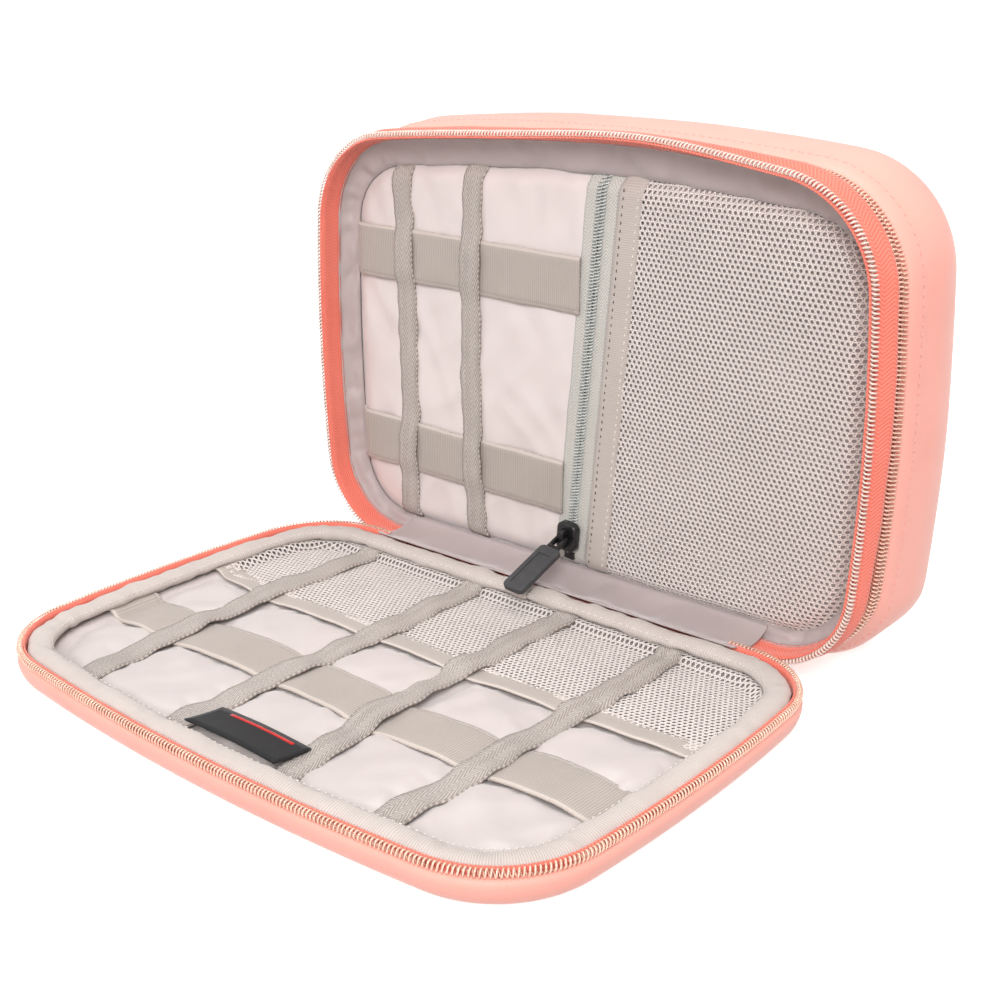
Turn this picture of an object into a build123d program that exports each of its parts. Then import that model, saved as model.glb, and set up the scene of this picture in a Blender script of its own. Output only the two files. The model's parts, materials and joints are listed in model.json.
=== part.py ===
from build123d import *
import math
import os

# Zip-around cable organiser pouch: a central gusset with a padded partition, a shallow front lid
# and a deep rear cover. Millimetres, +X to the right, +Y to the back, +Z up. While a piece is
# being drawn, y is measured from the front zipper's parting plane and z from the ground, and the
# front lid is drawn shut. The finished lid is then turned open, and every piece is moved so that
# the origin is the centre of the flat bottom that the rear cover stands on.

# ---------------------------------------------------------------- driving dimensions
width = 240.0            # across the widest point of the zipper loop
loop_height = 164.0      # zipper loop, bottom seam to the crown of its top
loop_lift = 7.0          # bottom seam above the ground
side_bulge = 5.0         # sagitta of each side
top_bulge = 8.0          # sagitta of the top
low_corner = 32.0        # corner radius beside the hinges
top_corner = 37.0        # corner radius at the top

lid_depth = 14.0         # front lid, parting plane to its outer face
lid_edge = 9.0           # rounding of the lid's outer edge
hinge_reach = 3.5        # open lid's rear edge in front of the body
gusset_depth = 17.0      # front zipper plane to rear zipper plane
pouch_depth = 64.0       # front zipper plane to the rear cover's outer face
cover_edge = 18.0        # rounding of the rear cover's outer edge
flare_end = 31.0         # where the rear cover's bottom has come down to the ground

shell_wall = 1.6         # outer fabric with its backing
foam_wall = 2.4          # padding of the rear cover
lid_foam_wall = 3.4      # padding of the front lid
lining_wall = 0.8        # satin lining
layer_gap = 0.05         # between fabric layers that lie on each other
zip_gap = 0.6            # between the two halves of the open front zipper when shut
rear_zip_gap = 0.3       # between the two halves of the rear zipper

coil_width = 3.0         # one coil, across its tape edge
coil_height = 2.3        # coil, outwards from its tape
tape_wall = 0.7          # woven tape
tape_width = 9.0         # tape that shows beside the coil
zip_run_in = 8.0         # zipper past the start of each lower corner, towards the hinge

board_wall = 2.2         # stiff board in the partition
pad_wall = 2.5           # padded satin on the partition's front
pad_inset = 8.5          # padded satin, in from the loop
band_wall = 1.0          # elastic band
band_width = 20.0        # wide elastic
strap_wall = 1.0         # narrow herringbone strap
strap_width = 11.0       # narrow herringbone strap
lid_strap_width = 12.0   # straps in the lid
binding_width = 9.0      # padded binding round the lid
binding_height = 4.2
net_wall = 0.8           # net fabric

upper_band_share = 0.69  # centre of the partition's upper elastic, as a share of the loop's height
lower_band_share = 0.23  # centre of the partition's lower elastic
strap_places = {"left": -83.0, "right": -47.0}
lid_strap_places = (-76.0, -26.0, 20.0, 61.0)
lid_band_share = 0.62    # centre of the lid's wide elastic
lid_hem_share = 0.38     # centre of the lid pocket's hem
lid_hem_width = 9.0
label_width = 38.0
label_height = 13.0
label_x = 0.0

pocket_zip_x = -1.5      # centre of the pocket zipper at its lower end
pocket_lean = 5.0        # degrees that the zipper leans outwards at its top
pocket_tape = 7.0        # each half of the pocket zipper's tape
pocket_coil = 4.0        # closed pocket coil, across
pocket_coil_wall = 1.4
pocket_binding = 9.8     # stitched strip between zipper and net
pocket_low = 20.0        # lower end of the pocket zipper
pocket_park = 7.0        # slider above the coil's lower end when the pocket is shut

slider_length = 11.0
slider_width = 8.5
slider_wall = 3.0
slider_play = 0.3        # slider clear of the coil it runs on
pair_gap = 35.0          # between the two rear sliders, room for the upper one's pull to hang
bail_length = 7.0
bail_width = 2.0
bail_height = 2.9
pin_radius = 0.6
pin_play = 0.06          # radial clearance of the pull's pin in the bail
pin_rise = 1.5           # pin above the slider's top
eye_length = 6.0         # pin to the end of the metal eye
eye_bar = 1.0
eye_wall = 1.8
tab_length = 24.0
tab_width = 9.0
tab_wall = 2.0

# ---------------------------------------------------------------- places worked out from them
loop_top = loop_lift + loop_height
side_half = width / 2 - side_bulge
upper_band_z = loop_lift + upper_band_share * loop_height
lower_band_z = loop_lift + lower_band_share * loop_height
lid_band_z = loop_lift + lid_band_share * loop_height
lid_hem_z = loop_lift + lid_hem_share * loop_height

hinge_z = (lid_depth + zip_gap + loop_lift - hinge_reach) / 2
hinge_y = (loop_lift - hinge_reach - lid_depth - zip_gap) / 2
lid_back = -zip_gap - lid_depth
rest_y = (flare_end + pouch_depth - cover_edge) / 2

tape_in = coil_height + layer_gap
under_tape = tape_in + tape_wall + layer_gap
board_front = gusset_depth - board_wall + 1.0
pad_front = board_front - layer_gap - pad_wall
band_front = pad_front - layer_gap - band_wall
strap_front = band_front - layer_gap - strap_wall
net_front = pad_front - 1.6
lid_floor = lid_back + shell_wall + lid_foam_wall + lining_wall + 2 * layer_gap
binding_top = -zip_gap - 0.2
lean = math.radians(pocket_lean)
everywhere = (-width, width)


# ---------------------------------------------------------------- the zipper loop's outline
def crossing(first, first_reach, second, second_reach):
    """The right-hand point that lies first_reach from one centre and second_reach from the other."""
    span = math.dist(first, second)
    along = (span ** 2 + first_reach ** 2 - second_reach ** 2) / (2 * span)
    across = math.sqrt(first_reach ** 2 - along ** 2)
    unit = ((second[0] - first[0]) / span, (second[1] - first[1]) / span)
    sides = [(first[0] + along * unit[0] + turn * across * unit[1],
              first[1] + along * unit[1] - turn * across * unit[0]) for turn in (-1, 1)]
    return max(sides)


def loop_arcs(lift):
    """Centre, radius, start and end angle of each arc on the right half of the loop, upwards."""
    rise = (loop_top - top_bulge - lift) / 2
    radius = (rise ** 2 + side_bulge ** 2) / (2 * side_bulge)
    side = (width / 2 - radius, lift + rise)
    low = (side[0] + math.sqrt((radius - low_corner) ** 2 - (lift + low_corner - side[1]) ** 2),
           lift + low_corner)
    crown_radius = (side_half ** 2 + top_bulge ** 2) / (2 * top_bulge)
    crown = (0.0, loop_top - crown_radius)
    high = crossing(side, radius - top_corner, crown, crown_radius - top_corner)
    low_angle = math.degrees(math.atan2(low[1] - side[1], low[0] - side[0]))
    high_angle = math.degrees(math.atan2(high[1] - side[1], high[0] - side[0]))
    crown_angle = math.degrees(math.atan2(high[1] - crown[1], high[0]))
    return [(low, low_corner, -90.0, low_angle), (side, radius, low_angle, high_angle),
            (high, top_corner, high_angle, crown_angle), (crown, crown_radius, crown_angle, 90.0)]


def loop_face(inset=0.0, lift=loop_lift):
    """The zipper loop's outline as a face, x across and y up, moved in by inset."""
    corner, side, shoulder, crown = loop_arcs(lift)
    with BuildSketch() as sketch:
        with BuildLine():
            for centre, radius, start, end in (corner, side, shoulder):
                CenterArc(centre, radius - inset, start, end - start)
            CenterArc(crown[0], crown[1] - inset, crown[2], 2 * (90.0 - crown[2]))
            for centre, radius, start, end in (shoulder, side, corner):
                CenterArc((-centre[0], centre[1]), radius - inset, 180.0 - end, end - start)
            Line((-corner[0][0], lift + inset), (corner[0][0], lift + inset))
        make_face()
    return sketch.sketch


(corner_x, corner_z), _, _, corner_end = loop_arcs(loop_lift)[0]
(side_centre_x, side_centre_z), side_radius, _, _ = loop_arcs(loop_lift)[1]
corner_span = corner_end + 90.0
zip_end = corner_x - zip_run_in


# ---------------------------------------------------------------- building blocks
def at_depth(y):
    """Plane that stands at depth y, with its normal to the front."""
    return Plane(origin=(0, y, 0), x_dir=(1, 0, 0), z_dir=(0, -1, 0))


def slab(face, front, back):
    """A face standing in the x-z plane, made solid from depth front to depth back."""
    return extrude(at_depth(back) * face, amount=back - front)


def ring(front, back, outer, inner):
    """A band that follows the whole loop, from inset outer to inset inner."""
    return slab(loop_face(outer), front, back) - slab(loop_face(inner), front, back)


def zip_ring(front, back, outer, inner):
    """A band along the zipper's run only: the loop without the hinge stretch at the bottom."""
    hinge_stretch = Pos(0, (front + back) / 2, loop_lift) * Box(2 * zip_end, back - front + 2, 2 * low_corner)
    return ring(front, back, outer, inner) - hinge_stretch


def block(x_range, y_range, z_range):
    """A box between three pairs of limits."""
    size = [high - low for low, high in (x_range, y_range, z_range)]
    centre = [(high + low) / 2 for low, high in (x_range, y_range, z_range)]
    return Pos(*centre) * Box(*size)


def flat_piece(face_inset, x_range, z_range, front, back):
    """A flat piece cut to the loop's outline: the part of it between the x and z limits."""
    return slab(loop_face(face_inset), front, back) & block(x_range, (front - 1, back + 1), z_range)


def leaning_piece(face_inset, x_range, z_range, front, back):
    """A flat piece beside the pocket zipper: upright limits turned by its lean, cut to the outline."""
    upright = block(x_range, (front - 1, back + 1), z_range)
    leaning = upright.rotate(Axis((pocket_zip_x, 0, pocket_low), (0, 1, 0)), pocket_lean)
    return slab(loop_face(face_inset), front, back) & leaning


def open_lid(piece):
    """Turn a piece of the shut lid about the hinge until the lid lies open on the ground."""
    return piece.rotate(Axis((0, hinge_y, hinge_z), (1, 0, 0)), 90)


def rounded(solid, depth_face, radius):
    """Round the rim of the face that lies furthest to the back (1) or to the front (-1)."""
    face = solid.faces().sort_by(Axis.Y)[-1 if depth_face > 0 else 0]
    return fillet(face.edges(), radius)


def lid_form(inset):
    """The filled shape of the shut lid, moved in by inset from its outer side."""
    blank = slab(loop_face(inset), lid_back + inset, -zip_gap - coil_width - 0.2)
    return rounded(blank, -1, max(lid_edge - inset, 1.0))


def cover_form(inset):
    """The filled shape of the rear cover, moved in by inset from its outer side."""
    seam = gusset_depth + coil_width + 0.3
    flare = loft([at_depth(seam) * loop_face(inset), at_depth(flare_end) * loop_face(inset, 0.0)], ruled=True)
    box = slab(loop_face(inset, 0.0), flare_end, pouch_depth - inset)
    return flare + rounded(box, 1, max(cover_edge - inset, 1.0))


# ---------------------------------------------------------------- gusset and partition
def build_gusset():
    """The central loop of the pouch: both body halves of the zippers, shell and lining."""
    rear_coil_front = gusset_depth - coil_width
    strip_back = rear_coil_front - 1.5
    nodes = {
        "front_zipper_body_coil": zip_ring(0.0, coil_width, 0.0, coil_height),
        "front_zipper_body_tape": zip_ring(1.0, 1.0 + tape_width, tape_in, tape_in + tape_wall),
        "gusset_shell": ring(coil_width + 1.5, strip_back, 0.4, coil_height),
        "gusset_lining": ring(1.5 + tape_width, pad_front + pad_wall, under_tape, pad_inset - layer_gap),
        "rear_zipper_body_tape": zip_ring(1.2 + tape_width, gusset_depth - 0.5, tape_in, tape_in + tape_wall),
        "rear_zipper_body_coil": zip_ring(rear_coil_front, gusset_depth - rear_zip_gap / 2, 0.0, coil_height),
    }
    hinge_cloth = (-zip_end + 1, zip_end - 1)
    nodes["front_hinge_strip"] = block(hinge_cloth, (0.5, coil_width + 1.4), (loop_lift + 0.4, loop_lift + 1.6))
    nodes["rear_hinge_strip"] = block(hinge_cloth, (strip_back + 0.1, gusset_depth - 0.5),
                                      (loop_lift + 0.4, loop_lift + 1.6))
    nodes["front_zipper_end_stops"] = end_stops(0.3, coil_width - 0.3)
    nodes["rear_zipper_end_stops"] = end_stops(rear_coil_front + 0.3, gusset_depth - 0.5)
    return nodes


def end_stops(front, back):
    """The two metal clamps that end a zipper's coil beside the hinge."""
    stops = []
    for side in (-1, 1):
        inner = side * (zip_end - 2.4)
        outer = side * (zip_end - 0.1)
        stops.append(block(sorted((inner, outer)), (front, back), (loop_lift - 0.1, loop_lift + 0.35)))
    return Compound(children=stops)


def build_partition():
    """The stiff padded wall between the two compartments, with its bands, straps and pocket."""
    edge = under_tape + layer_gap
    trim = pad_inset + 0.5
    pad_left = -side_half + trim
    binding_left = pocket_zip_x + pocket_tape + layer_gap
    binding_right = binding_left + pocket_binding
    rear = board_front + board_wall + layer_gap
    nodes = {
        "partition_board": slab(loop_face(edge), board_front, board_front + board_wall),
        "partition_front_panel": slab(loop_face(pad_inset), pad_front, pad_front + pad_wall),
        "partition_rear_lining": slab(loop_face(edge), rear, rear + lining_wall),
    }
    for name, centre in (("upper", upper_band_z), ("lower", lower_band_z)):
        low = centre - band_width / 2
        tape_edge = pocket_zip_x + math.tan(lean) * (low - pocket_low) - pocket_tape / math.cos(lean)
        nodes[f"partition_elastic_{name}"] = block(
            (pad_left, tape_edge - layer_gap), (band_front, band_front + band_wall), (low, low + band_width))
    for side, x in strap_places.items():
        nodes[f"partition_strap_{side}"] = flat_piece(
            trim, (x - strap_width / 2, x + strap_width / 2), everywhere, strap_front, strap_front + strap_wall)

    tape_front = pad_front - layer_gap - tape_wall
    for side, x_range in (("left", (pocket_zip_x - pocket_tape, pocket_zip_x - 0.3)),
                          ("right", (pocket_zip_x + 0.3, pocket_zip_x + pocket_tape))):
        nodes[f"pocket_zipper_tape_{side}"] = leaning_piece(trim, x_range, everywhere,
                                                            tape_front, tape_front + tape_wall)
    coil_x = (pocket_zip_x - pocket_coil / 2, pocket_zip_x + pocket_coil / 2)
    coil_depths = (tape_front - layer_gap - pocket_coil_wall, tape_front - layer_gap)
    nodes["pocket_zipper_coil"] = leaning_piece(trim, coil_x, (pocket_low, width), *coil_depths)
    nodes["pocket_zipper_end_stop"] = leaning_piece(
        trim, coil_x, (pocket_low - 2.5, pocket_low - layer_gap), *coil_depths)
    nodes["pocket_binding"] = leaning_piece(trim, (binding_left, binding_right), everywhere,
                                            net_front - 0.2, net_front + net_wall)
    nodes["partition_net_pocket"] = leaning_piece(trim, (binding_right + layer_gap, width), everywhere,
                                                  net_front, net_front + net_wall)
    return nodes


# ---------------------------------------------------------------- front lid
def build_lid():
    """The shallow front lid, drawn shut: shell, padding, lining, binding, zipper half and organiser."""
    foam_in = shell_wall + layer_gap
    lining_in = foam_in + lid_foam_wall + layer_gap
    seam = -zip_gap - coil_width - 0.2
    hollow = lining_in + lining_wall
    binding_in = under_tape + binding_width
    padded = slab(loop_face(under_tape), lid_back, binding_top - binding_height - layer_gap)
    nodes = {
        "lid_outer_shell": lid_form(0.0) - lid_form(shell_wall) - zip_well(under_tape),
        "lid_foam": (lid_form(foam_in) - lid_form(lining_in)) & padded,
        "lid_lining": (lid_form(lining_in) - lid_form(hollow)) & slab(loop_face(0), lid_back, seam - 2.6),
        "lid_rim_binding": rounded_binding(binding_in),
        "lid_zipper_tape": zip_ring(seam - 4.0, -zip_gap - 1.0, tape_in, tape_in + tape_wall),
        "lid_zipper_coil": zip_ring(-zip_gap - coil_width, -zip_gap, 0.0, coil_height),
    }
    inner = hollow + max(lid_edge - hollow, 1.0) + layer_gap
    floor = lid_floor + layer_gap
    band_back = floor + band_wall
    nodes["lid_elastic_band"] = flat_piece(inner, everywhere, (lid_band_z - band_width / 2, lid_band_z + band_width / 2),
                                           floor, band_back)
    nodes["lid_net_pocket"] = flat_piece(inner, everywhere, (0, lid_hem_z - lid_hem_width / 2 - layer_gap),
                                         floor, floor + net_wall)
    nodes["lid_net_hem"] = flat_piece(inner, everywhere, (lid_hem_z - lid_hem_width / 2, lid_hem_z + lid_hem_width / 2),
                                      floor, band_back)
    strap_floor = band_back + layer_gap
    for number, x in enumerate(lid_strap_places, start=1):
        nodes[f"lid_strap_{number}"] = flat_piece(
            inner, (x - lid_strap_width / 2, x + lid_strap_width / 2), everywhere, strap_floor, strap_floor + strap_wall)
    label_top = loop_top - top_bulge - inner + 4.5
    nodes["lid_label"] = block((label_x - label_width / 2, label_x + label_width / 2),
                               (strap_floor + strap_wall + 0.1, strap_floor + strap_wall + 0.9),
                               (label_top - label_height, label_top))
    return nodes


def zip_well(reach):
    """What the lid's tape and binding need of the shell's upper edge."""
    return ring(-zip_gap - coil_width - 5.0, 0.0, tape_in - layer_gap, reach)


def rounded_binding(reach):
    """The padded binding round the lid's mouth, with its upper edges eased."""
    band = ring(binding_top - binding_height, binding_top, under_tape, reach)
    top = band.faces().sort_by(Axis.Y)[-1]
    return fillet(top.edges(), 1.2)


# ---------------------------------------------------------------- rear cover
def build_cover():
    """The deep rear cover: shell, padding, lining and its half of the rear zipper."""
    foam_in = shell_wall + layer_gap
    lining_in = foam_in + foam_wall + layer_gap
    hollow = lining_in + lining_wall
    zip_front = gusset_depth + rear_zip_gap / 2
    tape_back = gusset_depth + coil_width + 3.0
    well = ring(gusset_depth, tape_back + 0.2, tape_in - layer_gap, under_tape)
    lining = cover_form(lining_in) - cover_form(hollow)
    foam = cover_form(foam_in) - cover_form(lining_in)
    return {
        "rear_cover_shell": cover_form(0.0) - cover_form(shell_wall) - well,
        "rear_cover_foam": foam - ring(gusset_depth, tape_back + 0.2, 0.0, under_tape),
        "rear_cover_lining": lining - well,
        "rear_zipper_cover_tape": zip_ring(gusset_depth + 0.8, tape_back, tape_in, tape_in + tape_wall),
        "rear_zipper_cover_coil": zip_ring(zip_front, gusset_depth + coil_width, 0.0, coil_height),
    }


# ---------------------------------------------------------------- sliders and pulls
def slider_body():
    """A slider on its own: x along the chain, z away from it, base at z = 0."""
    body = Pos(0, 0, slider_wall / 2) * Box(slider_length, slider_width, slider_wall)
    body = fillet(body.edges().filter_by(Axis.Z), 2.4)
    body = fillet(body.faces().sort_by(Axis.Z)[-1].edges(), 0.8)
    bail = Pos(0, 0, slider_wall + bail_height / 2) * Box(bail_length, bail_width, bail_height)
    bail = fillet(bail.faces().sort_by(Axis.Z)[-1].edges().filter_by(Axis.Y), 1.2)
    bore = Pos(0, 0, slider_wall + pin_rise) * Rot(90, 0, 0) * Cylinder(pin_radius + pin_play, bail_width + 1)
    return body + bail - bore


def pull_eye():
    """The metal eye that turns on the bail, pin at the origin, reaching towards -x."""
    inner = bail_width / 2 + 0.3
    outer = inner + eye_bar
    pin = Rot(90, 0, 0) * Cylinder(pin_radius, 2 * outer)
    arms = Part()
    for side in (-1, 1):
        arms += Pos(-eye_length / 2, side * (inner + outer) / 2, 0) * Box(eye_length + 1.2, eye_bar, eye_wall)
    bar = Pos(-eye_length + eye_bar / 2, 0, 0) * Box(eye_bar, 2 * outer, eye_wall)
    trim = Pos(-eye_length - 5, 0, 0) * Box(10, 20, 10)
    return pin + arms + bar - trim


def pull_tab():
    """The moulded rubber tab, fixed to the end of the eye, with a raised border."""
    centre = -eye_length - layer_gap - tab_length / 2
    tab = Pos(centre, 0, 0) * Box(tab_length, tab_width, tab_wall)
    tab = fillet(tab.edges().filter_by(Axis.Z), 2.0)
    tab = fillet(tab.faces().sort_by(Axis.Z)[-1].edges(), 0.5)
    field = Pos(centre - 1.0, 0, tab_wall / 2) * Box(tab_length - 7, tab_width - 4, 0.6)
    return tab - field


def slider_set(name, base, tilt=0.0):
    """A slider, its eye and its tab on a base plane; tilt lifts the pull away from the chain."""
    swing = Pos(0, 0, slider_wall + pin_rise) * Rot(0, tilt, 0)
    return {
        f"{name}_slider": base.location * slider_body(),
        f"{name}_pull_eye": base.location * swing * pull_eye(),
        f"{name}_pull_tab": base.location * swing * pull_tab(),
    }


def build_sliders():
    """The five sliders: two at each loop zipper and one on the pocket."""
    nodes = {}
    front_y = 0.5 + slider_width / 2
    under = loop_lift - slider_play
    for side, sign in (("left", -1), ("right", 1)):
        base = Plane(origin=(sign * corner_x, front_y, under), x_dir=(sign, 0, 0), z_dir=(0, 0, -1))
        nodes.update(slider_set(f"front_{side}", base))
    for level, rise in (("upper", pair_gap / 2), ("lower", -pair_gap / 2)):
        turn = math.asin(rise / (side_radius + slider_play))
        reach = side_radius + slider_play
        origin = (-side_centre_x - reach * math.cos(turn), gusset_depth, side_centre_z + reach * math.sin(turn))
        outward = (-math.cos(turn), 0, math.sin(turn))
        upward = (math.sin(turn), 0, math.cos(turn))
        nodes.update(slider_set(f"rear_{level}", Plane(origin=origin, x_dir=upward, z_dir=outward)))
    coil_front = pad_front - 2 * layer_gap - tape_wall - pocket_coil_wall
    park = (pocket_zip_x + pocket_park * math.sin(lean), coil_front - slider_play,
            pocket_low + pocket_park * math.cos(lean))
    pocket = Plane(origin=park, x_dir=(math.sin(lean), 0, math.cos(lean)), z_dir=(0, -1, 0))
    nodes.update(slider_set("pocket", pocket, 68.0))
    return nodes


# ---------------------------------------------------------------- write every piece
def build_all():
    """Every piece by name, in the pouch's own frame."""
    nodes = {}
    nodes.update(build_gusset())
    nodes.update(build_partition())
    nodes.update(build_cover())
    nodes.update(build_sliders())
    for name, piece in build_lid().items():
        nodes[name] = open_lid(piece)
    return {name: Pos(0, -rest_y, 0) * piece for name, piece in nodes.items()}


os.makedirs("parts", exist_ok=True)
for node, piece in build_all().items():
    export_step(piece, f"parts/{node}.step")
print("front lid hinge  y %.3f  z %.3f" % (hinge_y - rest_y, hinge_z))
print("rear cover hinge y %.3f  z %.3f" % (gusset_depth - rest_y, loop_lift - 0.4))
print("corner centre    x %.3f  z %.3f  span %.2f" % (corner_x, corner_z, corner_span))
print("side arc centre  x %.3f  z %.3f  radius %.3f" % (side_centre_x, side_centre_z, side_radius))
print("parting plane    y %.3f  zip end x %.3f" % (-rest_y, zip_end))
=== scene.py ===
"""Looks of a zip-around cable organiser pouch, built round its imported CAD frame.

Every length is in millimetres in the pouch's working coordinates: x across, depth back from the
front zipper's parting plane, and height above the ground, with the front lid thought of as shut.
A Stance turns them into the frame's metres, standing for the body and lying for the open lid.
"""
import json
import logging
import math
from dataclasses import dataclass, field
from enum import Enum
from typing import Callable, Sequence

import bmesh
import bpy
from mathutils import Matrix, Vector, noise
from mathutils.kdtree import KDTree
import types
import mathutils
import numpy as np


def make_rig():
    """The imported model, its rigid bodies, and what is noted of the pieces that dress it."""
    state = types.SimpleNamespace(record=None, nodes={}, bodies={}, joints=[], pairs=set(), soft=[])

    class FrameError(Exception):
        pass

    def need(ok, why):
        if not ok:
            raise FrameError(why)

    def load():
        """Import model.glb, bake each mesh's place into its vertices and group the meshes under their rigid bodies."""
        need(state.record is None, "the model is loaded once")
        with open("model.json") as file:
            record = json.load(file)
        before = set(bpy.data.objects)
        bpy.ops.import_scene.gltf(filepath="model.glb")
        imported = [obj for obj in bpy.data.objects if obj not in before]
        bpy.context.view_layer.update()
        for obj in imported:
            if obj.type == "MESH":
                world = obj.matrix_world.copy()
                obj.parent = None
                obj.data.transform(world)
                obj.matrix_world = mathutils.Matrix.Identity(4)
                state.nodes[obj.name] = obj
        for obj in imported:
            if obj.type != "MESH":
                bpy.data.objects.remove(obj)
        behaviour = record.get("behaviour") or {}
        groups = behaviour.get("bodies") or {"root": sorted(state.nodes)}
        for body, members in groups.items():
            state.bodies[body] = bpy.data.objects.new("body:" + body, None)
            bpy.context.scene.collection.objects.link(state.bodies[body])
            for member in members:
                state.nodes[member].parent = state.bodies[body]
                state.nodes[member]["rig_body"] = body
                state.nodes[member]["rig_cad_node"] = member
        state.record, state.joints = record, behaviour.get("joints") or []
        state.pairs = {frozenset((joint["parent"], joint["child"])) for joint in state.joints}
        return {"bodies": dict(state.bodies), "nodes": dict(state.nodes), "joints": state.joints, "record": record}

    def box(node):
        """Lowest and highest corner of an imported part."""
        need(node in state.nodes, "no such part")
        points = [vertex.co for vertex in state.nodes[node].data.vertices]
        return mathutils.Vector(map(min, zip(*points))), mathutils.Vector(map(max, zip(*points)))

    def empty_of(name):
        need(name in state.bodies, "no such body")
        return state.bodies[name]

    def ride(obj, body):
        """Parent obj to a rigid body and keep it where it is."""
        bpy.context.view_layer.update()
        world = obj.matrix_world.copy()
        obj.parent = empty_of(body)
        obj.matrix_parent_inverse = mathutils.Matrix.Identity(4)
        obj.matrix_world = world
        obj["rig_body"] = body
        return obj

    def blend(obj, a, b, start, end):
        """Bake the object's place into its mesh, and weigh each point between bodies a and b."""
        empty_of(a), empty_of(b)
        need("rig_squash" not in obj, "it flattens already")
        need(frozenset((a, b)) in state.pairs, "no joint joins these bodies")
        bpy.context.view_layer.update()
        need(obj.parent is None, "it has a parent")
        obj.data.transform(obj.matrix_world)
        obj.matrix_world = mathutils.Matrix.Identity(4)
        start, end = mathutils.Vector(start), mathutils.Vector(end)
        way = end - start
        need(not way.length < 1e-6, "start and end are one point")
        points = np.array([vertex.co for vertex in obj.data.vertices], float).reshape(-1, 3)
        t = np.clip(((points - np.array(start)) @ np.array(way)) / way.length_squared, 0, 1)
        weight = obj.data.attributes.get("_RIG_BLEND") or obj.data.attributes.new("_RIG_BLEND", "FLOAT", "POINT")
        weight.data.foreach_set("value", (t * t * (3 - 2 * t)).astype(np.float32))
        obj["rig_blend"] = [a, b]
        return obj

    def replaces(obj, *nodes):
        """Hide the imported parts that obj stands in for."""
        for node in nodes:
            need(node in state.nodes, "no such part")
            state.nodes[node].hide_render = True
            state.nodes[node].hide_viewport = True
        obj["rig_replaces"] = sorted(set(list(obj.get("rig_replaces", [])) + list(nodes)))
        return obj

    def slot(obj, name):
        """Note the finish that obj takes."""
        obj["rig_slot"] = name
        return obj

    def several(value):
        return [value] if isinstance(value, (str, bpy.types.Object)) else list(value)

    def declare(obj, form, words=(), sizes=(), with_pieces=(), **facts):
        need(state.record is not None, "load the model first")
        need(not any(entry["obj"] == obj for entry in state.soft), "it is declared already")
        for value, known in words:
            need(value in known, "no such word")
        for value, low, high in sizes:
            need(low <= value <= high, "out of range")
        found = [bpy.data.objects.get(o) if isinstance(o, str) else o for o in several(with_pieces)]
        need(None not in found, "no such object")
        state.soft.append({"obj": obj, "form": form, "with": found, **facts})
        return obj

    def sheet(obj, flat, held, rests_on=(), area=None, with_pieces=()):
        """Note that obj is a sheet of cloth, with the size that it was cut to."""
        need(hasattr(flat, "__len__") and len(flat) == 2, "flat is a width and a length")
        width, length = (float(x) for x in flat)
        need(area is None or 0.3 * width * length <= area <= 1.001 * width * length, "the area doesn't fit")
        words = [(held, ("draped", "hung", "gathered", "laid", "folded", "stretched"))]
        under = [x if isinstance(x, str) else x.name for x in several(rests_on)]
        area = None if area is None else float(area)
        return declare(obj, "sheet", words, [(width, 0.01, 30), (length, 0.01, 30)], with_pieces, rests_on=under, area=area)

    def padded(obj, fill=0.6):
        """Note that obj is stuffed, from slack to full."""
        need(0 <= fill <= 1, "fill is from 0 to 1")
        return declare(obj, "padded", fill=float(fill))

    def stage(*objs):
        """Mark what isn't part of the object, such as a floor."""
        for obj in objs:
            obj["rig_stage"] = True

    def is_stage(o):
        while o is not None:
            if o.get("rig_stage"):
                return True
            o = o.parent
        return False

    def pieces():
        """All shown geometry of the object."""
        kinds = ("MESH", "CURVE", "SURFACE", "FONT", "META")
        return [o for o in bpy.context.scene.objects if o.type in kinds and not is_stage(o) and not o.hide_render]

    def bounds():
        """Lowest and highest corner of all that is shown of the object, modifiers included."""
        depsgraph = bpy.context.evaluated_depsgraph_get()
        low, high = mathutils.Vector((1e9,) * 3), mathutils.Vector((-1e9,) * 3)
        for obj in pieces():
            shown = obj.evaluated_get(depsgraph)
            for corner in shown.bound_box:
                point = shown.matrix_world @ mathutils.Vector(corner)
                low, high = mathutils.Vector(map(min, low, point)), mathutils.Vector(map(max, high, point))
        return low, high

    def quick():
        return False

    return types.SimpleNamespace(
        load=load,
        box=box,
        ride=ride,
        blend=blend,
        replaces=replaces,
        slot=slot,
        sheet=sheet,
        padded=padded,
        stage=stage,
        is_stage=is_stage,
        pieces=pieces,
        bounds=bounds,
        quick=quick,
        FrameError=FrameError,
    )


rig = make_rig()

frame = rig.load()

MM = 0.001
TAU = 2 * math.pi
SIZE_FILE = "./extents.json"
CAD_BOX = [list(corner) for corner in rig.bounds()]
JOINTS = {joint["name"]: joint for joint in frame["joints"]}
HINGE = Vector(JOINTS["front_lid_hinge"]["pos_m"]) / MM
FRONT_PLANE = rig.box("front_zipper_body_coil")[0].y / MM
SPECK = 0.24  # size of the specks in a moulded finish
LOG = logging.getLogger("pouch")

Shape = bmesh.types.BMesh
Object = bpy.types.Object
Material = bpy.types.Material
Colour = tuple[float, float, float]


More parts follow.
